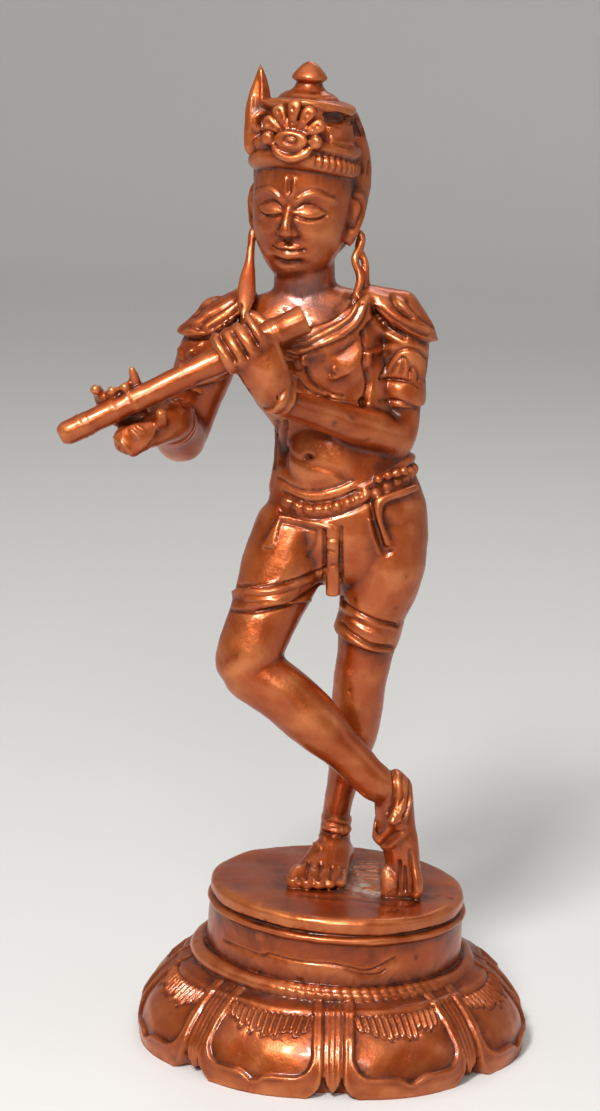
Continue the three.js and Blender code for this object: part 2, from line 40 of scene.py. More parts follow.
bpy.context.scene.view_settings.view_transform = "Standard"

# the casting is modelled in millimetres and set to metres at the end
millimetre = 0.001
fineVoxel = 0.155
skinVoxel = 0.32
mostTriangles = 197000

figure = {
    "height": 106.5,
    "headCentre": (-6.2, -0.4, 83.0),
    "headTurn": 16,      # degrees to the viewer's left
    "headBow": 4,
    "headLean": -3,
}
share = figure["height"] / 100   # the figure's stations are in hundredths of its height above the plinth


def spotsOf(piece):
    flat = np.empty(len(piece.data.vertices) * 3, np.float32)
    piece.data.vertices.foreach_get("co", flat)
    return flat.reshape(-1, 3).astype(float)


def setSpots(piece, spots):
    piece.data.vertices.foreach_set("co", np.asarray(spots, np.float32).ravel())
    piece.data.update()


# Camera, light and floor

camera = {
    "place": (-0.00577, -0.335, 0.125),
    "lookDown": 10.3,
    "roll": 1.5,
    "longSide": 36,
    "lens": 85.1,
}
picture = {"wide": 600, "high": 1111}


def viewTurn():
    down = Matrix.Rotation(math.radians(90 - camera["lookDown"]), 3, "X")
    return down @ Matrix.Rotation(math.radians(camera["roll"]), 3, "Z")


def makeCamera():
    bpy.ops.object.camera_add(location=camera["place"])
    eye = bpy.context.object
    eye.rotation_euler = viewTurn().to_euler()
    eye.data.sensor_width = camera["longSide"]
    eye.data.lens = camera["lens"]
    bpy.context.scene.camera = eye


studio = {
    "lamps": {
        "key": {"place": (-0.16, -0.42, 0.46), "power": 4.6, "size": 0.12},
        "front": {"place": (0.03, -0.72, 0.42), "power": 1.8, "size": 0.16},
        "side": {"place": (0.50, -0.10, 0.22), "power": 0.15, "size": 0.25},
        "rim": {"place": (0.10, 0.40, 0.55), "power": 0.7, "size": 0.30},
    },
    "aim": (0, 0, 0.065),
    "skyTurn": (35, -15, 0),      # degrees; a very wide, soft sun lights the floor evenly to its far edge
    "skyWide": 110,
    "skyStrength": 1.6,
    "worldColor": (0.84, 0.83, 0.82, 1),
    "worldStrength": 0.18,
    "floorSize": 6.0,
    "floorParts": 120,
    "floorColor": (0.57, 0.56, 0.545, 1),
    "floorRoughness": 0.8,
    "sweepAt": 1.3,      # how far out the floor starts to rise, on all sides
    "sweepRadius": 0.9,
}


def makeStudio():
    for lamp in studio["lamps"].values():
        bpy.ops.object.light_add(type="AREA", location=lamp["place"])
        light = bpy.context.object
        light.data.energy = lamp["power"]
        light.data.size = lamp["size"]
        light.rotation_euler = (Vector(studio["aim"]) - light.location).to_track_quat("-Z", "Y").to_euler()
    bpy.ops.object.light_add(type="SUN", rotation=[math.radians(turn) for turn in studio["skyTurn"]])
    sky = bpy.context.object
    sky.data.energy = studio["skyStrength"]
    sky.data.angle = math.radians(studio["skyWide"])
    world = bpy.data.worlds.new("studio")
    bpy.context.scene.world = world
    world.use_nodes = True
    back = world.node_tree.nodes["Background"]
    back.inputs["Color"].default_value = studio["worldColor"]
    back.inputs["Strength"].default_value = studio["worldStrength"]

    parts = studio["floorParts"]
    bpy.ops.mesh.primitive_grid_add(x_subdivisions=parts, y_subdivisions=parts, size=studio["floorSize"])
    floor = bpy.context.object
    floor.name = "floor"
    # past the round line where the sweep starts, the floor runs up a quarter round
    start, radius = studio["sweepAt"], studio["sweepRadius"]
    spots = spotsOf(floor)
    away = np.maximum(np.hypot(spots[:, 0], spots[:, 1]), 1e-6)
    turn = np.clip((away - start) / radius, 0, math.pi / 2)
    rest = np.clip(away - start - radius * math.pi / 2, 0, None)
    spots[:, :2] *= ((np.minimum(away, start) + radius * np.sin(turn)) / away)[:, None]
    spots[:, 2] = radius * (1 - np.cos(turn)) + rest
    setSpots(floor, spots)
    bpy.ops.object.shade_smooth()
    paint = bpy.data.materials.new("palePaint")
    paint.use_nodes = True
    shader = paint.node_tree.nodes["Principled BSDF"]
    shader.inputs["Base Color"].default_value = studio["floorColor"]
    shader.inputs["Roughness"].default_value = studio["floorRoughness"]
    floor.data.materials.append(paint)


makeCamera()
makeStudio()
print("camera, light and floor are set")


# Tools for shaping

def normalsOf(piece):
    flat = np.empty(len(piece.data.vertices) * 3, np.float32)
    piece.data.vertex_normals.foreach_get("vector", flat)
    return flat.reshape(-1, 3).astype(float)


def smoothLine(stations, at):
    spots = np.asarray(stations, float)
    spots = np.vstack([2 * spots[0] - spots[1], spots, 2 * spots[-1] - spots[-2]])
    steps = np.clip(at, 0, 1) * (len(spots) - 3)
    i = np.minimum(steps.astype(int), len(spots) - 4)
    w = (steps - i)[:, None]
    a, b, c, d = spots[i], spots[i + 1], spots[i + 2], spots[i + 3]
    curve = 2 * b + (c - a) * w + (2 * a - 5 * b + 4 * c - d) * w ** 2 + (3 * b - 3 * c + d - a) * w ** 3
    return curve / 2


def unit(vectors):
    return vectors / np.maximum(np.linalg.norm(vectors, axis=-1, keepdims=True), 1e-9)


def smoothStep(low, high, value):
    t = np.clip((value - low) / (high - low), 0, 1)
    return t * t * (3 - 2 * t)


def hump(value, wide):
    return np.exp(-(value / wide) ** 2)


def headPose():
    turn = Matrix.Rotation(math.radians(-figure["headTurn"]), 4, "Z")
    lean = Matrix.Rotation(math.radians(-figure["headLean"]), 4, "Y")
    bow = Matrix.Rotation(math.radians(figure["headBow"]), 4, "X")
    return np.array(Matrix.Translation(figure["headCentre"]) @ turn @ lean @ bow)


def onHead(spots):
    pose = headPose()
    return np.asarray(spots) @ pose[:3, :3].T + pose[:3, 3]


def onPlinth(spots):
    return np.asarray(spots) * share + (0, 0, plinthTop)


def place(piece, spots, head):
    setSpots(piece, onPlinth(onHead(spots) if head else spots))
    return piece


# A limb is a sphere drawn out along its stations: x, y, z and a radius across and front to back. The first
# and last are its tips. folds makes its section scalloped, and head says that it is in the head's own frame.
# hem keeps the sections upright, as in a cape, and leaves only that share of what is below the stations.
def limb(stations, around=28, along=40, across=(1, 0, 0), blunt=0.25, folds=(0, 0), hem=0, head=False):
    full = [tuple(s) if len(s) == 5 else (*s, s[3]) for s in stations]
    bpy.ops.mesh.primitive_uv_sphere_add(segments=around, ring_count=along, radius=1)
    piece = bpy.context.object
    ball = spotsOf(piece)
    at = (1 - ball[:, 2]) / 2
    ring = np.hypot(ball[:, 0], ball[:, 1])
    end = np.clip((np.abs(ball[:, 2]) - (1 - blunt)) / blunt, 0, 1)
    angle = np.arctan2(ball[:, 1], ball[:, 0])
    count, depth = folds
    fold = 1 - depth * (1 - np.abs(np.sin(angle * count / 2))) if count else 1
    fullness = fold * np.sqrt(1 - end ** 2) / np.maximum(ring, 1e-6)
    line = smoothLine([s[:3] for s in full], at)
    ahead = smoothLine([s[:3] for s in full], at + 1e-4)
    behind = smoothLine([s[:3] for s in full], at - 1e-4)
    tangent = unit(ahead - behind)
    radius = smoothLine([(s[3], s[4], 0) for s in full], at)
    wide = np.tile(np.asarray(across, float), (len(ball), 1))
    if not hem:
        wide = unit(wide - tangent * np.sum(tangent * wide, axis=1)[:, None])
    deep = unit(np.cross(tangent, wide))
    below = np.where(ball[:, 0] < 0, hem, 1) if hem else 1
    spots = line + wide * (ball[:, 0] * fullness * radius[:, 0] * below)[:, None]
    spots = spots - deep * (ball[:, 1] * fullness * radius[:, 1])[:, None]
    place(piece, spots, head)
    if hem:
        bpy.ops.object.mode_set(mode="EDIT")
        bpy.ops.mesh.select_all(action="SELECT")
        bpy.ops.mesh.normals_make_consistent(inside=False)
        bpy.ops.object.mode_set(mode="OBJECT")
    return piece


# A shape turned on the upright axis from [radius, height] points
def turned(profile, around=96):
    bpy.ops.mesh.primitive_circle_add(vertices=len(profile), radius=1, fill_type="NOTHING")
    piece = bpy.context.object
    setSpots(piece, [(max(radius, 0), 0, z) for radius, z in profile])
    bpy.ops.object.mode_set(mode="EDIT")
    bpy.ops.mesh.select_all(action="SELECT")
    bpy.ops.mesh.spin(steps=around, angle=2 * math.pi, center=(0, 0, 0), axis=(0, 0, 1))
    bpy.ops.mesh.select_all(action="SELECT")
    bpy.ops.mesh.remove_doubles(threshold=1e-4)
    bpy.ops.mesh.dissolve_degenerate(threshold=1e-4)
    bpy.ops.mesh.normals_make_consistent(inside=False)
    bpy.ops.object.mode_set(mode="OBJECT")
    return piece


# A closed band round a limb, turned as a round ring and then fitted to the limb's two radii. section holds
# [outwards, along] points, sag moves it up and down by the angle round the limb.
def band(at, section, radii, axis=(0, 0, 1), across=(1, 0, 0), sag=None):
    ringRadius = 10
    piece = turned([(ringRadius + out, up) for out, up in section])
    ring = spotsOf(piece)
    angle = np.arctan2(ring[:, 1], ring[:, 0])
    out = np.hypot(ring[:, 0], ring[:, 1]) - ringRadius
    up = unit(np.asarray(axis, float))
    wide = np.asarray(across, float)
    wide = unit(wide - up * (up @ wide))
    deep = np.cross(up, wide)
    rise = ring[:, 2] + (sag(angle) if sag else 0)
    spots = np.asarray(at, float) + wide * ((radii[0] + out) * np.cos(angle))[:, None]
    spots = spots + deep * ((radii[1] + out) * np.sin(angle))[:, None] + up * rise[:, None]
    return place(piece, spots, False)


# A band's section: round rolls side by side, standing on an inner edge that is sunk in the limb.
def rolls(count, thick, high, sunk=0.5, dip=0.35):
    points = [(-sunk, -high / 2)]
    steps = 8
    for i in range(count * steps + 1):
        up = high * (i / (count * steps) - 0.5)
        bulge = abs(math.sin(math.pi * i / steps))
        points.append((thick * (dip + (1 - dip) * math.sqrt(bulge)), up))
    points.append((-sunk, high / 2))
    return points


def bead(at, radius, squash=(1, 1, 1)):
    bpy.ops.mesh.primitive_uv_sphere_add(segments=14, ring_count=8, radius=radius)
    piece = bpy.context.object
    return place(piece, spotsOf(piece) * squash + at, False)


def joined(pieces, name):
    bpy.ops.object.select_all(action="DESELECT")
    for piece in pieces:
        piece.select_set(True)
    bpy.context.view_layer.objects.active = pieces[0]
    bpy.ops.object.join()
    whole = bpy.context.object
    whole.name = name
    whole.data.name = name
    return whole


def applied(piece, kind, **values):
    bpy.ops.object.select_all(action="DESELECT")
    piece.select_set(True)
    bpy.context.view_layer.objects.active = piece
    modifier = piece.modifiers.new(kind.lower(), kind)
    for name, value in values.items():
        setattr(modifier, name, value)
    bpy.ops.object.modifier_apply(modifier=modifier.name)
    return piece


def fused(piece, voxel):
    return applied(piece, "REMESH", mode="VOXEL", voxel_size=voxel, adaptivity=0)


# The plinth, from the ground up

plinth = {
    "petals": 8,
    "petalRadius": 26.3,
    "petalBow": 1.1,         # how far a petal falls back from its middle to its sides, low down
    "coreDepth": 1.9,        # how far the core stands in behind the petals' lower corners
    "lotusHeight": 10.8,
    "widestAt": 0.14,
    "ropeRadius": 17.8,
    "ropeThickness": 1.15,
    "drumRadius": 16.9,
    "drumHeight": 7.3,
    "grooveDepth": 0.6,
    "grooveHeight": 0.45,
    "discRadius": 16.8,
    "discThickness": 1.95,
    "discRounding": 0.9,
    "drumTilt": 2.3,         # degrees
    "leafHalfWidth": 1.35,   # the narrow leaf between two petals
    "rimWidth": 1.25,
    "cornerRadius": 3.6,
    "panelCorner": 2.6,
    "panelDepth": 0.45,
    "panelLow": 2.8,         # the panel's lower line, which dips to a point in the middle
    "panelPoint": 0.9,
    "panelSwell": 0.35,      # how far the panel comes back out to its middle
    "rimHeight": 0.22,
    "lipHeight": 0.24,       # the roll along the panel's edge
    "rimSink": 0.10,
    "leafSink": 0.42,
    "leafRib": 0.30,
    "leafEdge": 0.26,
    "leafStart": 0.6,        # the leaf widens upwards from here
    "notchDepth": 0.75,      # the core between petals and leaf, above its lowest part
    "edgeSoftness": 0.08,
}
plinthTop = sum(plinth[part] for part in ("lotusHeight", "drumHeight", "grooveHeight", "discThickness"))


def bellRadius(height):
    widest = plinth["widestAt"]
    top = plinth["ropeRadius"] + plinth["ropeThickness"] / 2
    fall = np.cos(np.clip((height - widest) / (1 - widest), 0, 1) * (math.pi / 2)) ** 0.8
    return top + (plinth["petalRadius"] - top) * np.where(height < widest, 1 - 0.25 * (widest - height), fall)


def tilted(piece):
    lean = np.array(Matrix.Rotation(math.radians(plinth["drumTilt"]), 3, "Y"))
    at = (0, 0, plinth["lotusHeight"])
    setSpots(piece, (spotsOf(piece) - at) @ lean.T + at)
    return piece


# The distance inside a corner where two edges meet with a rounding
def roundedCorner(first, second, radius):
    inner = np.minimum(first, second)
    corner = radius - np.hypot(np.maximum(radius - first, 0), np.maximum(radius - second, 0))
    return np.where(inner > radius, inner, corner)


# Where a spot lies on its petal: the angle from the petal's middle line, and the petal's number
def petalTurn(angle):
    step = 2 * math.pi / plinth["petals"]
    at = (angle + math.pi / 2) / step
    return (at - np.floor(at) - 0.5) * step, np.floor(at).astype(int) % plinth["petals"]


# How far a petal's surface stands out from the bell: rim, sunk panel, the narrow leaf and the core between
def petalRelief(angle, z, radius):
    turn, _ = petalTurn(angle)
    across = radius * np.abs(turn)
    wide = radius * math.pi / plinth["petals"] - across
    low = 1 - np.clip(z / plinth["lotusHeight"], 0, 1)
    bow = -plinth["petalBow"] * low * (turn * plinth["petals"] / math.pi) ** 2
    leafHalf = plinth["leafHalfWidth"]
    outer = roundedCorner(wide - leafHalf, z + 0.5, plinth["cornerRadius"])
    point = plinth["panelLow"] - plinth["panelPoint"] * hump(across, 1.3)
    panel = roundedCorner(wide - leafHalf - plinth["rimWidth"], z - point, plinth["panelCorner"])
    soft = plinth["edgeSoftness"]
    inPanel = smoothStep(-soft, soft, panel)
    inPetal = smoothStep(-0.10, 0.10, outer)
    rim = plinth["rimHeight"] * hump(outer - 0.32, 0.26) + plinth["lipHeight"] * hump(panel + 0.26, 0.24)
    rim = rim - plinth["rimSink"]
    sunk = -plinth["panelDepth"] + plinth["panelSwell"] * (1 - hump(panel, 3.0))
    leaf = leafHalf * np.clip((z - plinth["leafStart"]) / 2.6, 0, 1) ** 0.7
    inLeaf = smoothStep(-soft, soft, leaf - wide) * (z > plinth["leafStart"])
    ribs = -plinth["leafSink"] + plinth["leafRib"] * hump(wide, 0.22)
    ribs = ribs + plinth["leafEdge"] * hump(wide - 0.72, 0.2)
    notch = plinth["notchDepth"]
    core = -(notch + (plinth["coreDepth"] - notch) * hump(z, 3.2))
    petal = inPanel * sunk + (1 - inPanel) * rim
    between = inLeaf * ribs + (1 - inLeaf) * core
    return bow + inPetal * petal + (1 - inPetal) * between


def makeLotus():
    high = plinth["lotusHeight"]
    rows = np.linspace(0, 1, 76)
    outline = [(float(bellRadius(row)), float(row) * high) for row in rows]
    lotus = turned([(0, 0), *outline, (0, high)], around=720)
    spots = spotsOf(lotus)
    radius = np.hypot(spots[:, 0], spots[:, 1])
    angle = np.arctan2(spots[:, 1], spots[:, 0])
    on = radius > plinth["ropeRadius"] / 2
    out = radius + petalRelief(angle, spots[:, 2], radius)
    spots[on, 0] = (out * np.cos(angle))[on]
    spots[on, 1] = (out * np.sin(angle))[on]
    setSpots(lotus, spots)
    return lotus


def makePlinth():
    high = plinth["lotusHeight"]
    drum = plinth["drumRadius"]
    grooveLow = high + plinth["drumHeight"]
    discLow = grooveLow + plinth["grooveHeight"]
    rounding = plinth["discRounding"]
    disc = plinth["discRadius"]
    sunk = plinth["grooveDepth"]
    seat = high - 2
    edge = [(disc - rounding + rounding * math.cos(a), plinthTop - rounding + rounding * math.sin(a))
            for a in np.linspace(0, math.pi / 2, 7)]
    roll = [(drum - 0.1 + 0.35 * math.cos(a), grooveLow - 0.42 + 0.42 * math.sin(a))
            for a in np.linspace(-math.pi / 2, math.pi / 2, 8)]
    body = turned([
        (0, seat), (plinth["ropeRadius"], seat), (plinth["ropeRadius"], high), (drum, high + 0.3),
        (drum - 0.1, grooveLow - 1.2), *roll, (drum - sunk, grooveLow + 0.05),
        (disc - sunk, discLow - 0.05), (disc - 0.1, discLow + 0.1), *edge, (0, plinthTop),
    ], around=160)
    bpy.ops.mesh.primitive_torus_add(major_radius=plinth["ropeRadius"], minor_radius=plinth["ropeThickness"],
                                     major_segments=160, minor_segments=20, location=(0, 0, high))
    bpy.ops.object.transform_apply(location=True, rotation=True, scale=True)
    rope = bpy.context.object
    return [makeLotus(), tilted(body), tilted(rope)]


# Flesh: trunk, legs, feet, arms and hands

def makeTrunk():
    return [
        limb([
            (-0.4, 0.6, 37.0, 6.2, 4.4), (0.0, 0.6, 42.0, 9.7, 6.2), (0.1, 0.6, 46.0, 9.9, 6.5),
            (-0.2, 0.5, 50.0, 9.0, 5.9), (-0.5, 0.3, 54.5, 7.7, 5.0), (-1.9, 0.0, 59.5, 7.6, 5.0),
            (-4.2, -0.2, 64.5, 8.8, 5.5), (-5.1, 0.0, 68.5, 9.8, 5.2), (-5.4, 0.3, 71.5, 8.0, 4.0),
            (-5.6, 0.4, 74.0, 4.0, 3.2),
        ], around=48, along=60, blunt=0.12),
        limb([(-5.6, 0.8, 69, 4.2), (-5.8, 0.3, 75, 3.7), (-6.0, 0, 81, 3.7)]),
        # breast muscles and belly
        limb([(-8.6, -3.4, 67.6, 2.6, 1.6), (-7.4, -3.9, 64.9, 3.4, 1.7), (-5.4, -3.6, 64.3, 2.4, 1.4)]),
        limb([(1.2, -3.0, 67.6, 2.6, 1.6), (-1.2, -3.8, 65.2, 3.3, 1.7), (-3.2, -3.7, 64.3, 2.2, 1.4)]),
        limb([(-2.6, -2.4, 58.0, 3.4, 2.0), (-2.2, -2.9, 54.0, 5.0, 2.5), (-1.4, -3.2, 50.5, 4.2, 2.2)]),
    ]


def makeLegs():
    return [
        # the bent leg crosses in front and stands on its toes
        limb([
            (-5.2, 0.6, 48.0, 4.4, 4.8), (-6.4, -0.2, 43.5, 4.9, 5.2), (-7.6, -1.2, 39.5, 5.0, 5.2),
            (-9.1, -2.6, 35.3, 4.4, 4.5), (-10.7, -4.0, 31.2, 4.1, 4.2), (-11.6, -4.6, 28.2, 3.9, 3.9),
            (-12.2, -4.6, 25.2, 3.0, 3.0),
        ]),
        limb([
            (-14.2, -4.2, 29.2, 2.8, 3.0), (-11.0, -4.7, 27.4, 3.6, 3.6), (-7.3, -5.0, 25.1, 3.6, 3.6),
            (-3.6, -5.2, 21.9, 3.5, 3.5), (-1.0, -5.1, 19.3, 2.9, 3.0), (1.4, -4.9, 17.0, 2.5, 2.6),
            (3.9, -4.4, 14.4, 2.3, 2.4), (6.6, -3.6, 11.9, 2.2, 2.3),
        ]),
        # its foot, on tiptoe
        limb([
            (6.5, -2.4, 15.0, 1.9, 2.2), (6.8, -2.9, 12.4, 2.4, 2.7), (7.1, -3.5, 9.5, 2.45, 2.3),
            (7.75, -4.1, 6.5, 2.3, 1.8), (8.25, -4.6, 3.4, 2.1, 1.35), (8.4, -4.9, 1.2, 2.0, 1.1),
            (8.4, -5.0, -0.6, 1.8, 0.9),
        ]),
        # the straight leg
        limb([
            (4.3, 0.7, 48.5, 4.8, 5.0), (4.8, 0.4, 43.2, 5.2, 5.4), (4.5, 0.2, 39.0, 5.2, 5.3),
            (3.6, 0.1, 34.5, 4.2, 4.7), (3.0, 0.3, 29.5, 3.45, 3.8), (2.4, 0.4, 25.6, 3.3, 3.6),
            (2.0, 1.1, 21.0, 3.2, 3.6), (1.4, 2.0, 16.0, 2.6, 3.0), (0.6, 3.0, 11.5, 1.95, 2.2),
            (0.0, 4.0, 7.8, 1.75, 2.0), (-0.2, 4.7, 4.5, 2.0, 2.3), (0.1, 5.0, 1.2, 2.0, 2.4),
        ], blunt=0.1),
        # its foot, flat on the plinth
        limb([
            (0.7, 7.4, 1.5, 1.8, 1.6), (0.1, 5.2, 2.0, 2.4, 2.3), (-0.6, 2.6, 2.4, 2.7, 2.6),
            (-1.2, 0.4, 1.8, 3.0, 2.1), (-1.8, -1.6, 1.2, 3.4, 1.4), (-2.2, -3.2, 0.6, 3.5, 0.9),
        ]),
    ]


toes = {
    "tips": (-5.3, -3.5, -2.1, -0.8, 0.6),
    "reach": (-4.9, -5.3, -5.3, -5.0, -4.3),
    "thick": (0.92, 0.74, 0.72, 0.72, 0.78),
    "pointed": ((6.3, 0.75), (7.2, 0.72), (8.1, 0.5), (8.75, 0.46)),     # the other foot's: x, thickness
}


def makeToes():
    parts = []
    for x, reach, thick in zip(toes["tips"], toes["reach"], toes["thick"]):
        parts.append(limb([
            (x * 0.74 - 0.3, reach + 3.6, 1.75, thick, thick * 0.8),
            (x * 0.88 - 0.1, reach + 2.2, 1.75, thick, thick * 0.8),
            (x * 0.96, reach + 1.0, 1.0, thick * 1.05, thick * 0.72), (x, reach, 0.55, thick, thick * 0.6),
        ], around=18, along=20))
    for x, thick in toes["pointed"]:
        parts.append(limb([
            (x, -4.7, 3.6, thick * 0.9), (x + 0.05, -5.4, 1.8, thick), (x, -5.7, -0.4, thick * 0.9),
        ], around=16, along=18))
    parts.append(limb([
        (8.9, -4.5, 6.6, 0.75), (9.35, -5.2, 3.8, 0.82), (9.85, -5.9, 1.6, 0.78), (9.95, -6.1, -0.3, 0.72),
    ], around=18, along=20))
    return parts


def makeArms():
    upright = (0, 0, 1)
    return [
        # the near arm, bent across the chest
        limb([
            (5.6, 0.6, 72.2, 2.9, 3.4), (6.3, 0.5, 68.5, 3.1, 3.5), (6.4, 0.3, 64.5, 2.95, 3.1),
            (6.4, 0.1, 60.5, 2.5, 2.7), (6.0, -0.3, 57.0, 2.4, 2.6), (5.7, -0.5, 53.3, 1.9, 2.1),
        ]),
        limb([
            (7.5, 0.4, 54.7, 1.8, 1.8), (5.5, -1.2, 55.8, 2.5, 2.5), (2.6, -3.8, 57.1, 2.4, 2.4),
            (-0.5, -6.0, 58.2, 2.15, 2.15), (-4.2, -8.9, 59.7, 1.85, 1.8), (-8.0, -11.8, 61.3, 1.65, 1.5),
            (-10.2, -12.9, 63.4, 1.6, 1.2),
        ], across=upright),
        # the far arm
        limb([
            (-14.4, 0.5, 72.0, 2.9, 3.4), (-15.8, 0.7, 68.5, 3.3, 3.5), (-17.4, 0.9, 64.0, 3.7, 3.4),
            (-18.8, 1.2, 59.5, 3.3, 3.0), (-19.7, 1.2, 56.0, 3.0, 2.8), (-20.2, 0.8, 52.6, 2.2, 2.4),
        ]),
        limb([
            (-19.7, 2.4, 53.8, 2.4), (-20.2, -0.6, 55.1, 3.0, 2.9), (-20.7, -4.4, 57.0, 2.9),
            (-21.2, -8.0, 58.2, 2.8, 2.7), (-22.6, -10.6, 57.7, 2.4, 2.2), (-24.3, -12.0, 56.9, 2.2, 1.6),
            (-26.2, -12.8, 56.7, 1.7, 1.3), (-27.4, -12.9, 56.9, 1.1, 1.0),
        ]),
    ]


# The flute runs from its low end at the viewer's left to its high end by the chest

flute = {
    "low": (-33.5, -14.0, 56.7),
    "high": (-5.6, -9.5, 70.6),
    "lowRadius": 1.35,
    "highRadius": 1.7,
    "rings": (0.088, 0.112, 0.222, 0.30, 0.862, 0.888),
    "ringHeight": 0.09,
    "ringWidth": 0.19,
}


def makeFlute():
    low, high = Vector(flute["low"]), Vector(flute["high"])
    length = (high - low).length
    profile = [(0, 0)]
    for at in np.linspace(0, 1, 240):
        radius = flute["lowRadius"] + (flute["highRadius"] - flute["lowRadius"]) * at
        rim = math.sqrt(min(1, at * length / 0.9))
        for ring in flute["rings"]:
            radius += flute["ringHeight"] * math.exp(-((at - ring) * length / flute["ringWidth"]) ** 2)
        profile.append((radius * (0.55 + 0.45 * rim), at * length))
    profile.append((0, length))
    piece = turned(profile, around=48)
    turn = np.array(Vector((0, 0, 1)).rotation_difference(high - low).to_matrix())
    return place(piece, spotsOf(piece) @ turn.T + flute["low"], False)


# Each finger of the near hand: knuckle and bend, as x and z, and its thickness
nearFingers = [
    {"knuckle": (-14.35, 66.0), "bend": (-15.75, 68.3), "thick": 0.76},
    {"knuckle": (-12.8, 66.3), "bend": (-14.4, 68.9), "thick": 0.78},
    {"knuckle": (-11.45, 67.3), "bend": (-13.2, 69.6), "thick": 0.78},
    {"knuckle": (-10.5, 68.6), "bend": (-12.1, 70.9), "thick": 0.72},
]


def makeNearHand():
    parts = [limb([
        (-7.9, -11.8, 60.6, 1.8, 1.3), (-9.3, -12.7, 63.2, 2.6, 1.5), (-10.5, -13.2, 65.6, 2.9, 1.45),
        (-11.3, -13.3, 67.6, 2.7, 1.15), (-11.9, -13.2, 68.8, 1.8, 0.7),
    ])]
    for finger in nearFingers:
        x, z = finger["knuckle"]
        bendX, bendZ = finger["bend"]
        thick = finger["thick"]
        parts.append(limb([
            (x + 0.9, -13.1, z - 1.5, thick * 0.8), (x + 0.15, -14.1, z - 0.2, thick * 1.05),
            ((x + bendX) / 2, -14.3, (z + bendZ) / 2, thick * 0.95), (bendX, -13.3, bendZ, thick * 0.85),
            (bendX - 0.2, -11.9, bendZ + 0.4, thick * 0.7),
        ], around=20, along=26, blunt=0.2))
    return parts


# The far hand's finger ends, as x and z, show over the flute
farFingers = {"ends": [(-29.5, 62.1), (-27.6, 62.0), (-26.1, 62.5)], "thick": 0.6}


def makeFarHand():
    parts = []
    thick = farFingers["thick"]
    for i, (x, z) in enumerate(farFingers["ends"]):
        parts.append(limb([
            (-26.4 + 0.5 * i, -11.6, 57.8, 0.85), (x + 0.8, -11.0, z - 2.2, 0.8),
            (x + 0.2, -11.6, z - 0.4, 0.65), (x, -13.1, z, thick),
        ], around=16, along=20))
        parts.append(bead((x, -13.2, z), thick * 1.05))
    parts += [
        limb([(-29.3, -12.6, 61.0, 0.6, 0.5), (-27.4, -12.3, 61.4, 0.6, 0.6), (-25.0, -12.0, 62.4, 0.8, 0.6)],
             across=(0, 0, 1)),
        limb([(-24.6, -11.6, 58.6, 0.85), (-24.7, -11.3, 61.4, 0.8), (-25.0, -12.1, 63.2, 0.66),
              (-25.5, -12.6, 65.0, 0.32)], around=16, along=20),
        # thumb and palm
        limb([(-22.6, -11.4, 57.6, 1.0), (-21.9, -13.2, 58.9, 0.8), (-21.9, -13.7, 60.2, 0.7)],
             around=16, along=16),
        limb([(-27.3, -13.1, 56.6, 1.0, 0.7), (-25.8, -13.5, 56.3, 1.6, 0.95), (-24.2, -13.5, 56.8, 1.8, 1.0),
              (-22.5, -13.0, 57.6, 1.2, 0.8)], across=(0, 0, 1)),
    ]
    return parts


# The head: its middle is the origin, it looks along -Y and it is upright. The eye line halves its height, the
# eyes are a fifth of its width, and the nose and mouth divide the lower half by the usual thirds.

face = {
    "eyeApart": 2.45,
    "eyeHeight": 0.15,
    "mouthHeight": -4.4,
    "mouthWide": 1.65,
    "chin": -6.7,
}


def makeHead():
    parts = [
        limb([
            (0, -3.5, -7.6, 1.6, 1.6), (0, -2.45, -6.5, 3.5, 3.3), (0, -1.0, -4.0, 5.1, 4.9),
            (0, -0.2, 0, 5.9, 5.9), (0, 0.3, 3.6, 5.9, 6.1), (0, 0.5, 6.6, 5.6, 5.8), (0, 0.5, 9.0, 4.0, 4.0),
        ], around=48, along=48, blunt=0.14, head=True),
        # hair, which runs up behind the crown
        limb([
            (0, 2.6, -6.2, 3.4, 2.2), (0, 3.6, -2.6, 5.9, 3.9), (0, 3.6, 1.6, 7.1, 4.8),
            (0, 3.2, 5.6, 7.2, 4.9), (0, 2.4, 9.2, 6.1, 4.5), (0, 1.6, 11.6, 5.1, 4.0),
        ], around=48, blunt=0.1, head=True),
        # nose
        limb([(0, -5.4, 1.7, 0.42, 0.4), (0, -6.05, 0.0, 0.42, 0.55), (0, -6.55, -1.6, 0.6, 0.7),
              (0, -6.6, -2.3, 0.72, 0.6), (0, -5.9, -2.8, 0.6, 0.4)], head=True),
    ]
    for side in (-1, 1):
        parts += [
            limb([
                (side * 0.6, -5.8, -1.9, 0.4), (side * 0.95, -5.75, -2.3, 0.48),
                (side * 0.8, -5.4, -2.6, 0.4),
            ], head=True, around=16, along=14),
            # ear with its long lobe
            limb([(side * 5.9, 1.2, 2.2, 0.9, 0.9), (side * 6.4, 1.4, 0.4, 1.0, 1.2),
                  (side * 6.1, 1.0, -1.8, 0.9, 0.9), (side * 5.8, 0.4, -4.2, 0.7, 0.6)], head=True),
        ]
    return parts


# The crown: a ribbed lower roll, an upper roll, a drum with sunk panels, a stepped dome and a pointed cap

crown = {
    "arch": 1.2,             # how much all but the dome and cap rise to the front
    "archTop": 13.2,
    "medallion": (0.1, 8.6),
    "leaves": 5,
    "leafSpread": 30,        # degrees
    "leafReach": 4.6,
    "leafPits": (2.0, 2.8, 3.5),
    "ribs": 12,              # on the lower roll, by degrees round from the front
    "ribsFrom": 27,
    "ribStep": 7.5,
    "panels": 12,            # sunk in the drum, round its back
    "panelsFrom": 100,
    "panelHalf": 11,
    "panelLow": 8.8,
    "panelHigh": 10.9,
    "hairLines": 26,
    "hairFrom": 118,
    "hairStep": 5,
}
headRound = 6    # the head is unrolled at this radius


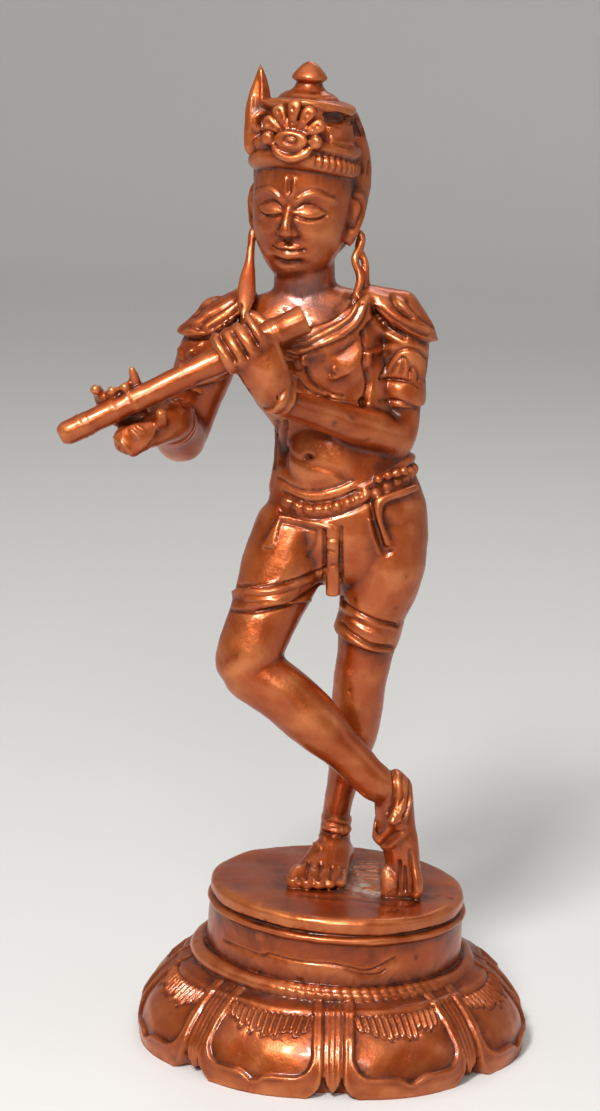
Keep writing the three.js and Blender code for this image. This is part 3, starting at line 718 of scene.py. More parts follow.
def archRise(forward):
    return crown["arch"] * np.clip(forward / 6, 0, None) ** 1.5


def makeCrown():
    profile = [
        (0, 3.9), (5.8, 4.0), (6.3, 4.15), (6.65, 4.6), (6.75, 5.1), (6.62, 5.6), (6.3, 5.95), (6.02, 6.1),
        (6.3, 6.25), (6.6, 6.6), (6.62, 7.0), (6.4, 7.4), (6.0, 7.7), (5.7, 8.0), (5.5, 8.5), (5.35, 9.3),
        (5.2, 10.6), (5.2, 11.1), (5.45, 11.3), (5.62, 11.6), (5.6, 11.9), (5.35, 12.2), (4.9, 12.4),
        (4.1, 12.6), (3.6, 12.75), (3.45, 12.95), (3.4, 13.15), (3.0, 13.3), (2.9, 13.5), (2.4, 13.65),
        (2.0, 13.9), (1.7, 14.25), (1.5, 14.6), (1.5, 14.85), (1.85, 15.0), (2.05, 15.2), (2.02, 15.45),
        (1.66, 15.95), (1.22, 16.4), (0.8, 16.75), (0.45, 16.98), (0.2, 17.08), (0, 17.1),
    ]
    cap = turned(profile, around=120)
    spots = spotsOf(cap)
    low = np.clip((crown["archTop"] - spots[:, 2]) / 0.8, 0, 1)
    spots[:, 2] += low * archRise(-spots[:, 1])
    place(cap, spots, True)
    x, z = crown["medallion"]
    parts = [cap, limb([(x, -6.1, z, 1.7, 0.95), (x, -6.9, z, 2.05, 1.1), (x, -7.3, z, 1.7, 0.8)],
                       head=True, blunt=0.3)]
    middle = (crown["leaves"] - 1) / 2
    leaf = [(0.12, -6.4, 0.3, 0.3), (0.5, -6.4, 0.5, 0.34), (0.82, -6.2, 0.82, 0.34), (1.0, -5.9, 0.62, 0.28)]
    for i in range(crown["leaves"]):
        spread = math.radians((i - middle) * crown["leafSpread"])
        reach = crown["leafReach"] - 0.2 * abs(i - middle)
        away = np.array((math.sin(spread) * reach, math.cos(spread) * reach))
        stations = [(x + away[0] * at, y, z + away[1] * at, wide, deep) for at, y, wide, deep in leaf]
        across = (math.cos(spread), 0, -math.sin(spread))
        parts.append(limb(stations, around=20, along=22, across=across, head=True))
    for side in (-1, 1):
        parts.append(limb([
            (side * 2.6, -5.2, 8.4, 0.8), (side * 2.85, -6.1, 8.45, 0.88), (side * 2.85, -6.75, 8.45, 0.6),
        ], head=True, around=20, along=16))
    # a bowl and a roll round it hang from the medallion
    parts += [
        limb([(x, -5.9, 7.6, 1.5, 0.8), (x, -6.7, 7.35, 1.7, 0.85), (x, -6.95, 7.3, 1.3, 0.6)], head=True),
        limb([
            (x - 2.3, -6.2, 8.0, 0.35), (x - 1.65, -6.7, 6.95, 0.48), (x, -6.95, 6.4, 0.5),
            (x + 1.65, -6.7, 6.95, 0.48), (x + 2.3, -6.2, 8.0, 0.35),
        ], head=True, across=(0, 0, 1)),
    ]
    return parts


def makeOrnaments():
    return [
        # the tall leaf at the side of the crown
        limb([(-12.3, -2.5, 89.0, 0.8, 0.8), (-12.1, -2.6, 91.5, 1.15, 0.7), (-11.7, -2.6, 94.0, 1.45, 0.6),
              (-11.5, -2.4, 96.6, 1.15, 0.5), (-11.55, -2.1, 99.7, 0.15, 0.25)], around=32),
        # two twisted cords hang from one lobe, and a cloth tongue from the other
        limb([(0.7, 0.7, 80.5, 0.5), (0.9, 0.4, 78.8, 0.42), (0.2, -0.5, 77.0, 0.44), (0.9, -0.9, 74.9, 0.46),
              (0.5, -2.3, 72.6, 0.5), (1.2, -3.0, 71.0, 0.4)], around=16),
        limb([(0.9, 0.8, 80.0, 0.42), (0.6, 0.3, 78.4, 0.42), (1.4, -0.1, 76.7, 0.44), (1.5, -0.4, 74.5, 0.5),
              (1.9, -1.2, 72.6, 0.5), (2.4, -1.8, 71.2, 0.4)], around=16),
        limb([
            (-12.1, 0.4, 80.5, 0.5), (-12.2, -0.1, 78.2, 0.42), (-12.3, -0.8, 76.4, 0.6, 0.45),
            (-12.5, -1.9, 74.4, 0.95, 0.45), (-12.6, -3.6, 72.1, 0.95, 0.45), (-12.85, -5.3, 69.8, 0.2, 0.3),
        ]),
    ]


# Dress

def makeCapes():
    cloth = {"across": (0, 0, 1), "folds": (11, 0.05), "hem": 0.2, "around": 96, "along": 60}
    return [
        limb([(0.8, 0.3, 73.0, 1.0, 2.4), (2.6, 0.2, 71.9, 2.1, 4.0), (5.1, 0.1, 69.9, 3.8, 4.3),
              (7.2, 0.1, 68.8, 4.4, 4.0), (9.0, 0, 68.0, 2.8, 3.0), (10.5, 0, 67.6, 0.4, 0.8)], **cloth),
        limb([(-11.4, 0.3, 72.6, 1.4, 2.4), (-13.5, 0.2, 70.6, 2.8, 4.0), (-15.9, 0.1, 68.7, 3.4, 4.2),
              (-18.2, 0, 67.9, 2.8, 3.5), (-20.0, 0, 67.8, 1.2, 2.2), (-20.9, 0, 67.9, 0.4, 0.8)], **cloth),
    ]


def makeScarf():
    return [
        limb([
            (2.4, -1.4, 73.2, 0.8, 1.0), (1.0, -3.7, 70.8, 1.6, 0.9), (-2.2, -4.9, 68.0, 2.0, 0.9),
            (-6.3, -5.2, 67.0, 2.0, 0.9), (-10.4, -4.7, 68.1, 2.0, 0.9), (-13.0, -3.0, 70.8, 1.4, 0.9),
        ], around=48, across=(0, 0, 1)),
        limb([(-9.6, 1.6, 66.0, 0.9, 1.6), (-8.4, 1.4, 58.0, 0.7, 1.8), (-8.2, 1.2, 53.0, 0.7, 1.8),
              (-9.0, 1.2, 48.0, 0.7, 1.6)]),
    ]


# A band's sag: it hangs lowest at one angle round the body, in degrees, and the front is at -90
def dip(depth, at=-90, sharp=1.5):
    return lambda angle: -depth * np.clip(np.cos(angle - math.radians(at)), 0, 1) ** sharp


waist = {
    "slope": 0.22,           # the belt climbs to the viewer's right with the hip
    "beltRadii": (8.35, 5.8),
    "beltMiddle": (-0.35, 0.4, 50.1),
    "beltDip": 2.2,
    "beads": 34,
    "beadRadius": 0.7,
    "knots": ((3.7, -5.1, 51.4), (4.8, -4.8, 51.8), (5.8, -4.3, 52.0), (6.7, -3.7, 52.2)),
    "knotRadius": 0.58,
}


def makeWaist():
    x, y, z = waist["beltMiddle"]
    wide, deep = waist["beltRadii"]
    sag = dip(waist["beltDip"], -105)
    parts = [
        band((-0.4, 0.5, 52.3), rolls(1, 0.6, 1.1), (8.1, 5.35), axis=(-0.12, 0, 1), sag=dip(2.9, -108)),
        band((x, y, z + 0.2), rolls(1, 0.3, 1.9), (wide - 0.15, deep - 0.15), axis=(-waist["slope"], 0, 1),
             sag=sag),
    ]
    for i in range(waist["beads"]):
        angle = 2 * math.pi * i / waist["beads"]
        lift = float(sag(np.array([angle]))[0])
        along = wide * math.cos(angle)
        spot = (x + along, y + deep * math.sin(angle), z + lift + waist["slope"] * along)
        parts.append(bead(spot, waist["beadRadius"], squash=(1.05, 0.65, 1)))
    parts += [bead(spot, waist["knotRadius"]) for spot in waist["knots"]]
    parts += [
        # the pleat in the middle, and the sash's hook at the hip
        limb([(-1.5, -5.5, 45.6, 1.0, 0.45), (-1.5, -5.6, 43.0, 0.95, 0.5), (-1.4, -5.1, 40.0, 0.95, 0.5),
              (-1.3, -4.6, 36.9, 0.95, 0.5)], around=32, blunt=0.06),
        limb([(8.4, -2.2, 50.2, 0.3, 0.35), (6.9, -4.0, 49.7, 0.38, 0.42), (5.0, -5.0, 49.2, 0.42, 0.42),
              (3.9, -5.5, 48.4, 0.48, 0.48), (3.9, -5.6, 46.6, 0.46, 0.45), (4.5, -5.5, 44.7, 0.48, 0.45),
              (5.1, -5.3, 43.3, 0.58, 0.5)], around=20, blunt=0.15),
    ]
    return parts


def makeHems():
    return [
        band((-8.7, -2.2, 36.3), rolls(1, 0.3, 2.8, dip=0.8), (4.5, 4.75), axis=(-0.18, 0.22, 0.95)),
        band((3.3, 0.1, 32.6), rolls(1, 0.28, 3.2, dip=0.8), (3.8, 4.4), axis=(0.26, 0.1, 0.95),
             sag=dip(1.0, sharp=1)),
    ]


def makeBangles():
    wristLine = (-0.76, -0.58, 0.35)
    farWristLine = (-0.12, -0.9, 0.4)
    return [
        band((6.4, 0.1, 61.25), rolls(1, 0.42, 3.0, dip=0.7), (2.5, 2.75)),
        band((-17.9, 1.0, 62.6), rolls(1, 0.5, 1.8), (3.6, 3.3), axis=(-0.3, 0, 0.95)),
        band((-8.3, -11.8, 61.8), rolls(2, 0.5, 2.1), (1.85, 1.75), axis=wristLine, across=(0, 0, 1)),
        band((-21.0, -6.4, 57.75), rolls(2, 0.3, 2.2), (2.75, 2.75), axis=farWristLine),
        band((-0.1, 4.2, 6.2), rolls(2, 0.16, 2.1), (1.8, 2.1), axis=(0.1, 0.2, 0.95)),
        # a double ring hangs from the raised heel across the bent leg's instep
        band((6.65, -3.6, 9.6), rolls(2, 0.25, 1.8), (2.35, 3.6), axis=(-0.87, -0.32, 0.37),
             across=(0, 1, 0)),
        # metal has run out round the feet
        limb([(-3.4, -2.2, -0.1, 2.6, 0.45), (2.0, 0.2, -0.2, 5.0, 0.5), (8.8, -4.6, -0.5, 2.4, 0.4)],
             across=(0, 1, 0)),
    ]


flesh = joined(
    makeTrunk() + makeLegs() + makeToes() + makeArms() + makeNearHand() + makeFarHand() + makeHead(), "flesh"
)
fused(flesh, skinVoxel)
print("the flesh is fused:", len(flesh.data.vertices), "points")

# Limbs run into each other softly, while hands, feet and the face keep their edges.
softening = {
    "rounds": 9,
    "headReach": 9.5,
    "handsBefore": -9.5,
    "handsAbove": 52,
    "feetBelow": 6.5,
    "crispShare": 0.2,       # of the softening that those parts get
}


def soften(piece):
    spots = (spotsOf(piece) - (0, 0, plinthTop)) / share
    head = np.linalg.norm(spots - figure["headCentre"], axis=1) < softening["headReach"]
    hands = (spots[:, 1] < softening["handsBefore"]) & (spots[:, 2] > softening["handsAbove"])
    feet = spots[:, 2] < softening["feetBelow"]
    crisp = head | hands | feet
    soft = piece.vertex_groups.new(name="soft")
    soft.add(np.flatnonzero(~crisp).tolist(), 1.0, "REPLACE")
    soft.add(np.flatnonzero(crisp).tolist(), softening["crispShare"], "REPLACE")
    applied(piece, "SMOOTH", factor=0.5, iterations=softening["rounds"], vertex_group="soft")


soften(flesh)

dress = (makeCrown() + makeOrnaments() + makeCapes() + makeScarf() + makeWaist()
         + makeHems() + makeBangles() + [makeFlute()] + makePlinth())
casting = joined([flesh] + dress, "copper_casting")
fused(casting, fineVoxel)
applied(casting, "SMOOTH", factor=0.5, iterations=1)
print("the casting is fused:", len(casting.data.vertices), "points")


# Relief: what is too fine for the limbs is raised or sunk on the fused skin, in millimetres. A chart gives
# each point of the skin a place on a flat drawing, and says what one unit of it is and where it is open.

skin = {}
relief = {
    "cell": 4,               # pixels; the nearest surface is found for each cell of the picture
    "overlap": 1.6,          # what lies less than this behind the nearest surface still belongs to it
    "deepest": -1.2,
    "highest": 1.0,
    "groundBelow": 0.15,
    "behindHands": -7.2,     # the body is what stands behind the flute and the near hand
    "inHands": -8.0,
}


def readSkin(piece):
    skin["spots"] = spotsOf(piece)
    skin["out"] = normalsOf(piece)
    skin["rise"] = np.zeros(len(skin["spots"]))
    skin["figure"] = (skin["spots"] - (0, 0, plinthTop)) / share


def chartOf(across, down, unitSize, weight):
    return {"across": across, "down": down, "unit": unitSize, "weight": weight, "open": weight > 0.01}


# The drawing as the camera sees it, in the picture's pixels, open on the nearest surfaces only
def pictureChart():
    turn = np.array(viewTurn())
    eye = np.array(camera["place"]) / millimetre
    seen = (skin["spots"] - eye) @ turn
    depth = -seen[:, 2]
    zoom = camera["lens"] / camera["longSide"] * picture["high"]
    across = picture["wide"] / 2 + zoom * seen[:, 0] / depth
    down = picture["high"] / 2 - zoom * seen[:, 1] / depth
    cell = relief["cell"]
    columns = picture["wide"] // cell + 1
    column = np.clip(across / cell, 0, columns - 1).astype(int)
    row = np.clip(down / cell, 0, picture["high"] // cell).astype(int)
    nearest = np.full(columns * (picture["high"] // cell + 1), np.inf)
    np.minimum.at(nearest, row * columns + column, depth)
    facing = np.sum(unit(eye - skin["spots"]) * skin["out"], axis=1)
    shown = depth < nearest[row * columns + column] + relief["overlap"]
    return chartOf(across, down, float(depth.mean() / zoom), shown * smoothStep(0.02, 0.3, facing))


# Two drawings on the head, in its own x and z: the front as it is, and the whole unrolled
def headCharts():
    pose = headPose()
    spots = (skin["figure"] - pose[:3, 3]) @ pose[:3, :3]
    out = skin["out"] @ pose[:3, :3]
    near = (np.abs(spots[:, 0]) < 8.5) & (np.abs(spots[:, 1]) < 9)
    near = near & (spots[:, 2] > -8.4) & (spots[:, 2] < 17.5)
    front = near * smoothStep(0.0, 0.3, -out[:, 1]) * smoothStep(-1.0, -2.0, spots[:, 1])
    sides = near * smoothStep(0.2, 0.5, np.hypot(out[:, 0], out[:, 1]))
    around = np.arctan2(spots[:, 0], -spots[:, 1]) * headRound
    return chartOf(spots[:, 0], -spots[:, 2], share, front), chartOf(around, -spots[:, 2], share, sides)


def nearLine(chart, line, reach):
    path = smoothLine(line, np.linspace(0, 1, 8 * (len(line) - 1) + 1))
    margin = reach / chart["unit"]
    low, high = path.min(axis=0) - margin, path.max(axis=0) + margin
    u, v = chart["across"], chart["down"]
    near = np.flatnonzero(chart["open"] & (u > low[0]) & (u < high[0]) & (v > low[1]) & (v < high[1]))
    spots = np.column_stack([u[near], v[near]])
    gap = np.full(len(near), np.inf)
    side = np.zeros(len(near))
    past = np.zeros(len(near), bool)
    for i, (start, end) in enumerate(zip(path[:-1], path[1:])):
        step = end - start
        at = (spots - start) @ step / max(step @ step, 1e-12)
        off = spots - start - np.clip(at, 0, 1)[:, None] * step
        far = np.hypot(off[:, 0], off[:, 1])
        closer = far < gap
        gap[closer] = far[closer]
        side[closer] = np.sign(step[0] * off[:, 1] - step[1] * off[:, 0])[closer]
        past[closer] = ((i == 0) & (at < 0) | (i == len(path) - 2) & (at > 1))[closer]
    return near, gap * chart["unit"], side, past


# A ridge, or a groove where high is negative. With an edge, the right-hand side of the line's run stands up
# sharply and falls away over that distance.
def stroke(chart, line, high, wide, edge=0):
    near, gap, side, past = nearLine(chart, line, 3 * max(wide, edge))
    if edge:
        inside = gap * side
        lift = smoothStep(-wide / 2, wide / 2, inside) * np.exp(-np.clip(inside, 0, None) / edge)
        lift = lift * np.where(past, hump(gap, wide), 1)
    else:
        lift = hump(gap, wide)
    skin["rise"][near] += high * lift * chart["weight"][near]


# A swelling round a point, or a hollow where high is negative
def bump(chart, at, high, wide, tall, sharp=2):
    u = (chart["across"] - at[0]) / wide
    v = (chart["down"] - at[1]) / tall
    near = np.flatnonzero(chart["open"] & (np.abs(u) < 2.5) & (np.abs(v) < 2.5))
    far = np.hypot(u[near], v[near])
    skin["rise"][near] += high * np.exp(-far ** sharp) * chart["weight"][near]


# A flat patch inside a closed outline
def patch(chart, outline, high, soft=0.2):
    corners = np.asarray(outline, float)
    near, gap, _, _ = nearLine(chart, [*outline, outline[0]], 0.6)
    u, v = chart["across"][near], chart["down"][near]
    inside = np.zeros(len(near), bool)
    for (x0, y0), (x1, y1) in zip(corners, np.roll(corners, -1, axis=0)):
        crosses = (y0 > v) != (y1 > v)
        inside ^= crosses & (u < (x1 - x0) * (v - y0) / (y1 - y0 if y1 != y0 else 1e-9) + x0)
    lift = smoothStep(-soft, soft, np.where(inside, gap, -gap))
    skin["rise"][near] += high * lift * chart["weight"][near]


# A region's marks, drawn in their order. Each has its kind, its height, its size or sizes and its places.
def draw(chart, marks):
    for kind, high, sizes, *places in marks.values():
        sizes = sizes if isinstance(sizes, tuple) else (sizes,)
        for at in places:
            kind(chart, at, high, *sizes)


def onlyWhere(chart, allowed):
    weight = chart["weight"] * allowed
    return {**chart, "weight": weight, "open": weight > 0.01}


# The marks of each region, as they run in the picture. A stroke's sizes are its width and, for a step, how
# far it falls away, in millimetres. A bump's are its radii in the chart's units and its sharpness, and a
# patch's is the softness of its edge.

cowlEdge = [(367, 306), (362, 320), (350, 333), (334, 342), (316, 349), (300, 355), (289, 352)]

chestMarks = {
    "cowlStep": (stroke, 0.42, (0.3, 2.2), cowlEdge),
    "cowlGroove": (stroke, -0.22, 0.3, cowlEdge),
    "cowlFolds": (
        stroke, -0.3, 0.3,
        [(361, 303), (354, 318), (342, 328), (326, 337), (308, 345), (294, 347)],
        [(356, 298), (348, 313), (335, 322), (318, 331), (309, 337)],
    ),
    "softFold": (stroke, -0.16, 0.4, [(350, 293), (343, 304), (336, 310)]),
    "pendant": (bump, 0.22, (9, 6), (280, 305)),
    "thread": (stroke, 0.25, 0.45, [(289, 373), (300, 377), (309, 386), (324, 394), (341, 399)]),
    "threadEdges": (
        stroke, -0.25, 0.2,
        [(306, 369), (313, 382), (326, 392), (343, 397)], [(299, 379), (308, 390), (323, 397), (337, 401)],
    ),
    "nippleTop": (bump, 0.32, (2.4, 2.4), (334, 370)),
    "nippleFoot": (bump, 0.32, (1.6, 1.6), (330, 377)),
    "breastEdge": (stroke, 0.3, (0.6, 2.5), [(363, 336), (362, 352), (356, 369), (337, 379)]),
    "armpit": (stroke, -0.6, 0.35, [(363, 334), (366, 350), (365, 362), (369, 380), (367, 392), (364, 402)]),
    "armpitHole": (bump, -0.9, (4, 3.5), (363, 402)),
    "navel": (bump, -0.8, (4.5, 2.8), (308, 457)),
    "bellyLine": (stroke, -0.22, 0.45, [(286, 450), (296, 459), (312, 465), (330, 470), (345, 478)]),
    "hangingFolds": (
        stroke, -0.35, 0.3, [(277, 416), (275, 440), (274, 468)], [(287, 412), (284, 440), (283, 465)],
    ),
}

ornament = [(381, 377), (386, 366), (395, 354), (406, 349), (418, 351), (425, 358)]

armMarks = {
    "ridges": (
        stroke, 0.3, 0.4,
        [(371, 318), (382, 331), (398, 340), (424, 350)], [(369, 353), (381, 350), (393, 347)],
    ),
    "ornamentEdge": (stroke, -0.3, 0.22, ornament),
    "ornament": (patch, 0.18, 0.2, [*ornament, (424, 384), (400, 378)]),
    "inside": (
        stroke, -0.24, 0.16,
        [(390, 374), (396, 364), (402, 357)], [(400, 374), (403, 364), (402, 357)],
        [(409, 376), (410, 366), (404, 357)], [(409, 372), (413, 367), (417, 372), (418, 382)],
    ),
    "bandEdges": (
        stroke, -0.3, 0.2,
        [(381, 379), (395, 379), (411, 382), (419, 387)], [(380, 401), (393, 400), (408, 404), (417, 409)],
    ),
    "boss": (bump, 0.25, (9, 7, 3), (395, 390)),
}

capeMarks = {
    "rightFolds": (
        stroke, -0.38, 0.3,
        [(381, 308), (390, 318), (405, 326), (428, 335)], [(392, 298), (400, 310), (412, 318)],
        [(373, 304), (379, 316), (389, 328), (404, 338)], [(408, 300), (416, 312), (425, 320), (434, 328)],
    ),
    "rightRidges": (
        stroke, 0.16, 0.4,
        [(385, 305), (395, 315), (410, 322), (430, 330)], [(397, 299), (405, 308), (417, 314)],
    ),
    "rightHem": (stroke, -0.25, 0.3, [(375, 300), (382, 312), (393, 325), (411, 336), (433, 343)]),
    "leftFolds": (
        stroke, -0.34, 0.28,
        [(234, 301), (222, 309), (213, 314), (204, 321), (197, 329)], [(240, 306), (228, 318), (212, 328)],
        [(226, 293), (213, 300), (203, 307), (194, 315)], [(236, 312), (229, 322), (221, 330)],
    ),
    "leftRidges": (
        stroke, 0.18, 0.35,
        [(237, 304), (226, 312), (215, 320), (206, 327)], [(229, 298), (217, 305), (205, 313)],
    ),
    "leftHem": (stroke, -0.2, 0.3, [(238, 318), (222, 330), (205, 338), (182, 337)]),
    "leftCurl": (stroke, -0.25, 0.25, [(180, 330), (186, 326), (195, 327), (204, 331)]),
}

handMarks = {
    "fingerGaps": (
        stroke, -0.4, 0.22, [(221, 337), (235, 361)], [(233, 333), (247, 356)], [(244, 324), (257, 344)],
    ),
    "knuckles": (bump, 0.16, (4, 3.2), (229, 359), (240, 361), (252, 352), (261, 338)),
    "braceletBead": (bump, 0.25, (6, 7), (278, 400)),
    "palm": (
        patch, 0.3, 0.2, [(113, 437), (125, 428), (140, 423), (159, 424), (152, 439), (135, 456), (123, 451)],
    ),
    "palmLines": (
        stroke, 0.3, 0.22, [(122, 441), (132, 452)], [(132, 431), (140, 438)], [(137, 427), (143, 431)],
    ),
}

farArmMarks = {
    "wrist": (
        stroke, 0.3, 0.3,
        [(177, 400), (185, 403), (192, 409)], [(169, 403), (176, 406), (182, 412)], [(193, 389), (201, 392)],
    ),
    "armlet": (
        stroke, 0.3, 0.3,
        [(179, 349), (181, 356), (180, 364)], [(189, 354), (194, 349), (200, 346)], [(192, 352), (198, 353)],
    ),
}

skirtMarks = {
    "underRoll": (
        stroke, -0.4, 0.3, [(283, 492), (296, 499), (309, 503), (324, 502), (340, 498), (356, 491)],
    ),
    "overRoll": (
        stroke, -0.3, 0.25, [(279, 478), (291, 486), (306, 491), (322, 490), (338, 486), (352, 480)],
    ),
    "beltLumps": (
        bump, 0.42, (4.3, 5.2, 3),
        (287, 502), (297, 506), (307, 509), (317, 510), (327, 509), (337, 506), (347, 503), (357, 499),
        (366, 494),
    ),
    "underBelt": (
        stroke, -0.28, 0.25, [(281, 511), (300, 518), (320, 519), (340, 515), (360, 507), (373, 500)],
    ),
    "kerchiefSide": (stroke, -0.12, 0.2, [(316, 531), (314, 545), (309, 557)]),
    "kerchiefTop": (stroke, 0.28, 0.3, [(281, 517), (300, 520), (330, 527.5)]),
    "kerchiefLine": (stroke, -0.16, 0.2, [(283, 523), (300, 527), (314, 531)]),
    "kerchiefFlap": (patch, 0.32, 0.2, [(281, 516), (262, 546.5), (274, 548.5), (280, 523)]),
    "pleatSides": (stroke, -0.4, 0.22, [(324, 531), (324, 588)], [(341, 528), (341.5, 596)]),
    "pleatLines": (
        stroke, -0.2, 0.18, [(326, 539), (339, 539)], [(327, 551), (334, 552)], [(331, 566), (338, 565)],
    ),
    "sash": (stroke, 0.25, 0.4, [(417, 488), (405, 491), (393, 495), (379, 499.5)]),
    "hook": (stroke, 0.2, 0.4, [(376.5, 502), (378, 512), (380.7, 523), (387.7, 540), (390.5, 547)]),
    "hookShadow": (stroke, -0.35, 0.3, [(371, 503), (374, 520), (381, 543), (385, 554), (391, 551)]),
    "hookSide": (stroke, 0.22, 0.22, [(369.5, 520.5), (373, 536), (379, 554)]),
    "hipKnobs": (bump, 0.14, (5, 5), (393, 512), (400, 519), (397, 532), (404, 508)),
    "leftGrooves": (
        stroke, -0.42, 0.24,
        [(240, 586), (264, 586), (292, 581), (315, 573), (325, 570)],
        [(231, 610), (246, 611.5), (260, 611), (285, 606), (303, 596), (320, 585)],
    ),
    "leftRidges": (
        stroke, 0.2, 0.26,
        [(247, 591), (266, 592), (290, 587), (312, 580)], [(246, 599), (262, 600), (280, 598), (298, 590)],
        [(247, 605), (262, 605), (280, 601)],
    ),
    "rightGrooves": (
        stroke, -0.42, 0.24,
        [(341, 600), (347, 606), (358, 613), (376, 621), (397, 626)],
        [(341, 623), (347, 630), (357, 637), (372, 645), (392, 647)],
    ),
    "rightRidges": (
        stroke, 0.2, 0.28,
        [(340, 605), (348, 611), (360, 617), (379, 624), (396, 629)], [(351, 621), (365, 631), (379, 634)],
        [(342, 629), (350, 637), (360, 644), (375, 650), (392, 651)],
    ),
}

footMarks = {
    "ankleBand": (patch, 0.25, 0.2, [(325, 820), (334, 817), (346, 822), (347, 830), (338, 833), (326, 830)]),
    "ankleOrnament": (stroke, -0.25, 0.2, [(328, 822), (336, 824), (344, 826)], [(332, 828), (340, 829)]),
    "ankleLines": (
        stroke, 0.3, 0.25,
        [(334, 836), (342, 834), (350, 829)], [(319, 836), (325, 838)], [(313, 843), (321, 847)],
    ),
    "toeGaps": (
        stroke, -0.35, 0.24,
        [(309, 863), (305, 878)], [(321, 864), (319, 880)],
        [(332, 868), (331, 880)], [(344, 868), (341, 878)],
    ),
    "nails": (
        stroke, 0.2, 0.2, [(286, 877), (291, 881), (297, 880)], [(302, 880), (306, 883), (311, 880)],
        [(314, 880), (318, 883), (323, 880)], [(326, 880), (330, 882), (334, 879)],
    ),
    "strap": (stroke, 0.3, 0.8, [(396, 771), (401, 790), (398, 806), (393, 818)]),
    "strapGrooves": (
        stroke, -0.35, 0.22, [(392, 772), (394, 795), (388, 812)], [(409, 776), (408, 806), (403, 819)],
    ),
    "strapLine": (stroke, -0.25, 0.18, [(401, 778), (402, 796), (397, 812)]),
    "knot": (bump, 0.35, (3, 2.6), (393, 822), (400, 820), (398, 828), (404, 826)),
    "strapTail": (stroke, 0.4, 0.4, [(377, 834), (381, 844), (388, 847), (394, 843), (403, 833)]),
    "pointedGaps": (
        stroke, -0.35, 0.22, [(400, 862), (399, 893)], [(410, 850), (411, 890)], [(405, 868), (405, 890)],
    ),
    "longToe": (stroke, 0.2, 0.4, [(408, 842), (413, 860), (418, 892)]),
}

cracks = [
    [(224, 940), (237, 947), (250, 952), (262, 956), (268, 954), (275, 956), (290, 960), (312, 963),
     (335, 965), (350, 968), (370, 970), (395, 958)],
    [(345, 970), (355, 973), (365, 975), (378, 974), (385, 970)],
]

drumMarks = {
    "cracks": (stroke, -0.24, 0.13, *cracks),
    "crackLips": (stroke, 0.08, 0.18, *[[(x, y - 2.0) for x, y in line] for line in cracks]),
    "puddle": (patch, 0.18, 0.4, [(352, 866), (372, 862), (392, 872), (398, 888), (380, 896), (362, 890)]),
    "puddleLine": (stroke, -0.1, 0.2, [(300, 896), (330, 898), (360, 900), (400, 905), (418, 903)]),
}

crownMarks = {
    "leafRib": (stroke, 0.28, 0.22, [(261, 70), (262, 85), (262, 101)]),
    "leafEdge": (stroke, 0.25, 0.25, [(252, 98), (251, 112), (250, 130)]),
    "niche": (patch, -0.6, 0.15, [(323, 114), (338, 113), (350, 118), (343, 124), (329, 125)]),
    "block": (patch, 0.35, 0.15, [(328, 127), (352, 125), (353, 149), (331, 143)]),
    "curl": (stroke, 0.3, 0.3, [(263, 113), (256, 117), (255, 125), (261, 130), (266, 127)]),
}


# The face: closed lids under high brows, a straight nose and a small full mouth. Its marks are given as x and
# z, for one side or across the middle.
def onSide(marks, side):
    def placed(at):
        if isinstance(at, list):
            return [(side * x, -z) for x, z in at]
        return (side * at[0], -at[1])

    return {name: (*mark[:3], *[placed(at) for at in mark[3:]]) for name, mark in marks.items()}


apart, eye = face["eyeApart"], face["eyeHeight"]
corner, mouth = face["mouthWide"], face["mouthHeight"]

faceSideMarks = {
    "socket": (bump, -0.5, (1.9, 1.0), (apart - 0.1, eye + 0.5)),
    "brow": (stroke, 0.3, 0.42, [(1.0, 1.45), (1.9, 2.15), (3.1, 2.35), (4.7, 1.55)]),
    "browCrease": (stroke, -0.14, 0.16, [(1.2, 2.1), (2.0, 2.75), (3.1, 2.95), (4.8, 2.15)]),
    "lid": (bump, 0.62, (1.5, 0.72, 2.6), (apart + 0.05, eye)),
    "lidFold": (stroke, -0.26, 0.15, [(0.95, 0.5), (1.7, 1.0), (2.6, 1.1), (3.6, 0.8), (4.3, 0.3)]),
    "lidLine": (stroke, -0.42, 0.17, [(0.9, -0.25), (1.6, -0.52), (2.5, -0.62), (3.4, -0.48), (4.2, -0.1)]),
    "underLid": (stroke, 0.16, 0.22, [(1.2, -0.8), (2.5, -1.1), (3.8, -0.75)]),
    "cheek": (bump, 0.3, (1.7, 1.6), (3.0, -2.7)),
    "nostrilEdge": (stroke, -0.25, 0.2, [(1.15, -1.7), (1.45, -2.3), (1.15, -2.85)]),
    "nostril": (bump, -0.3, (0.3, 0.22), (0.45, -2.85)),
    "mouthCorner": (bump, -0.22, (0.4, 0.4), (corner + 0.2, mouth + 0.12)),
    "upperLip": (bump, 0.34, (0.85, 0.34), (0.62, mouth + 0.32)),
}

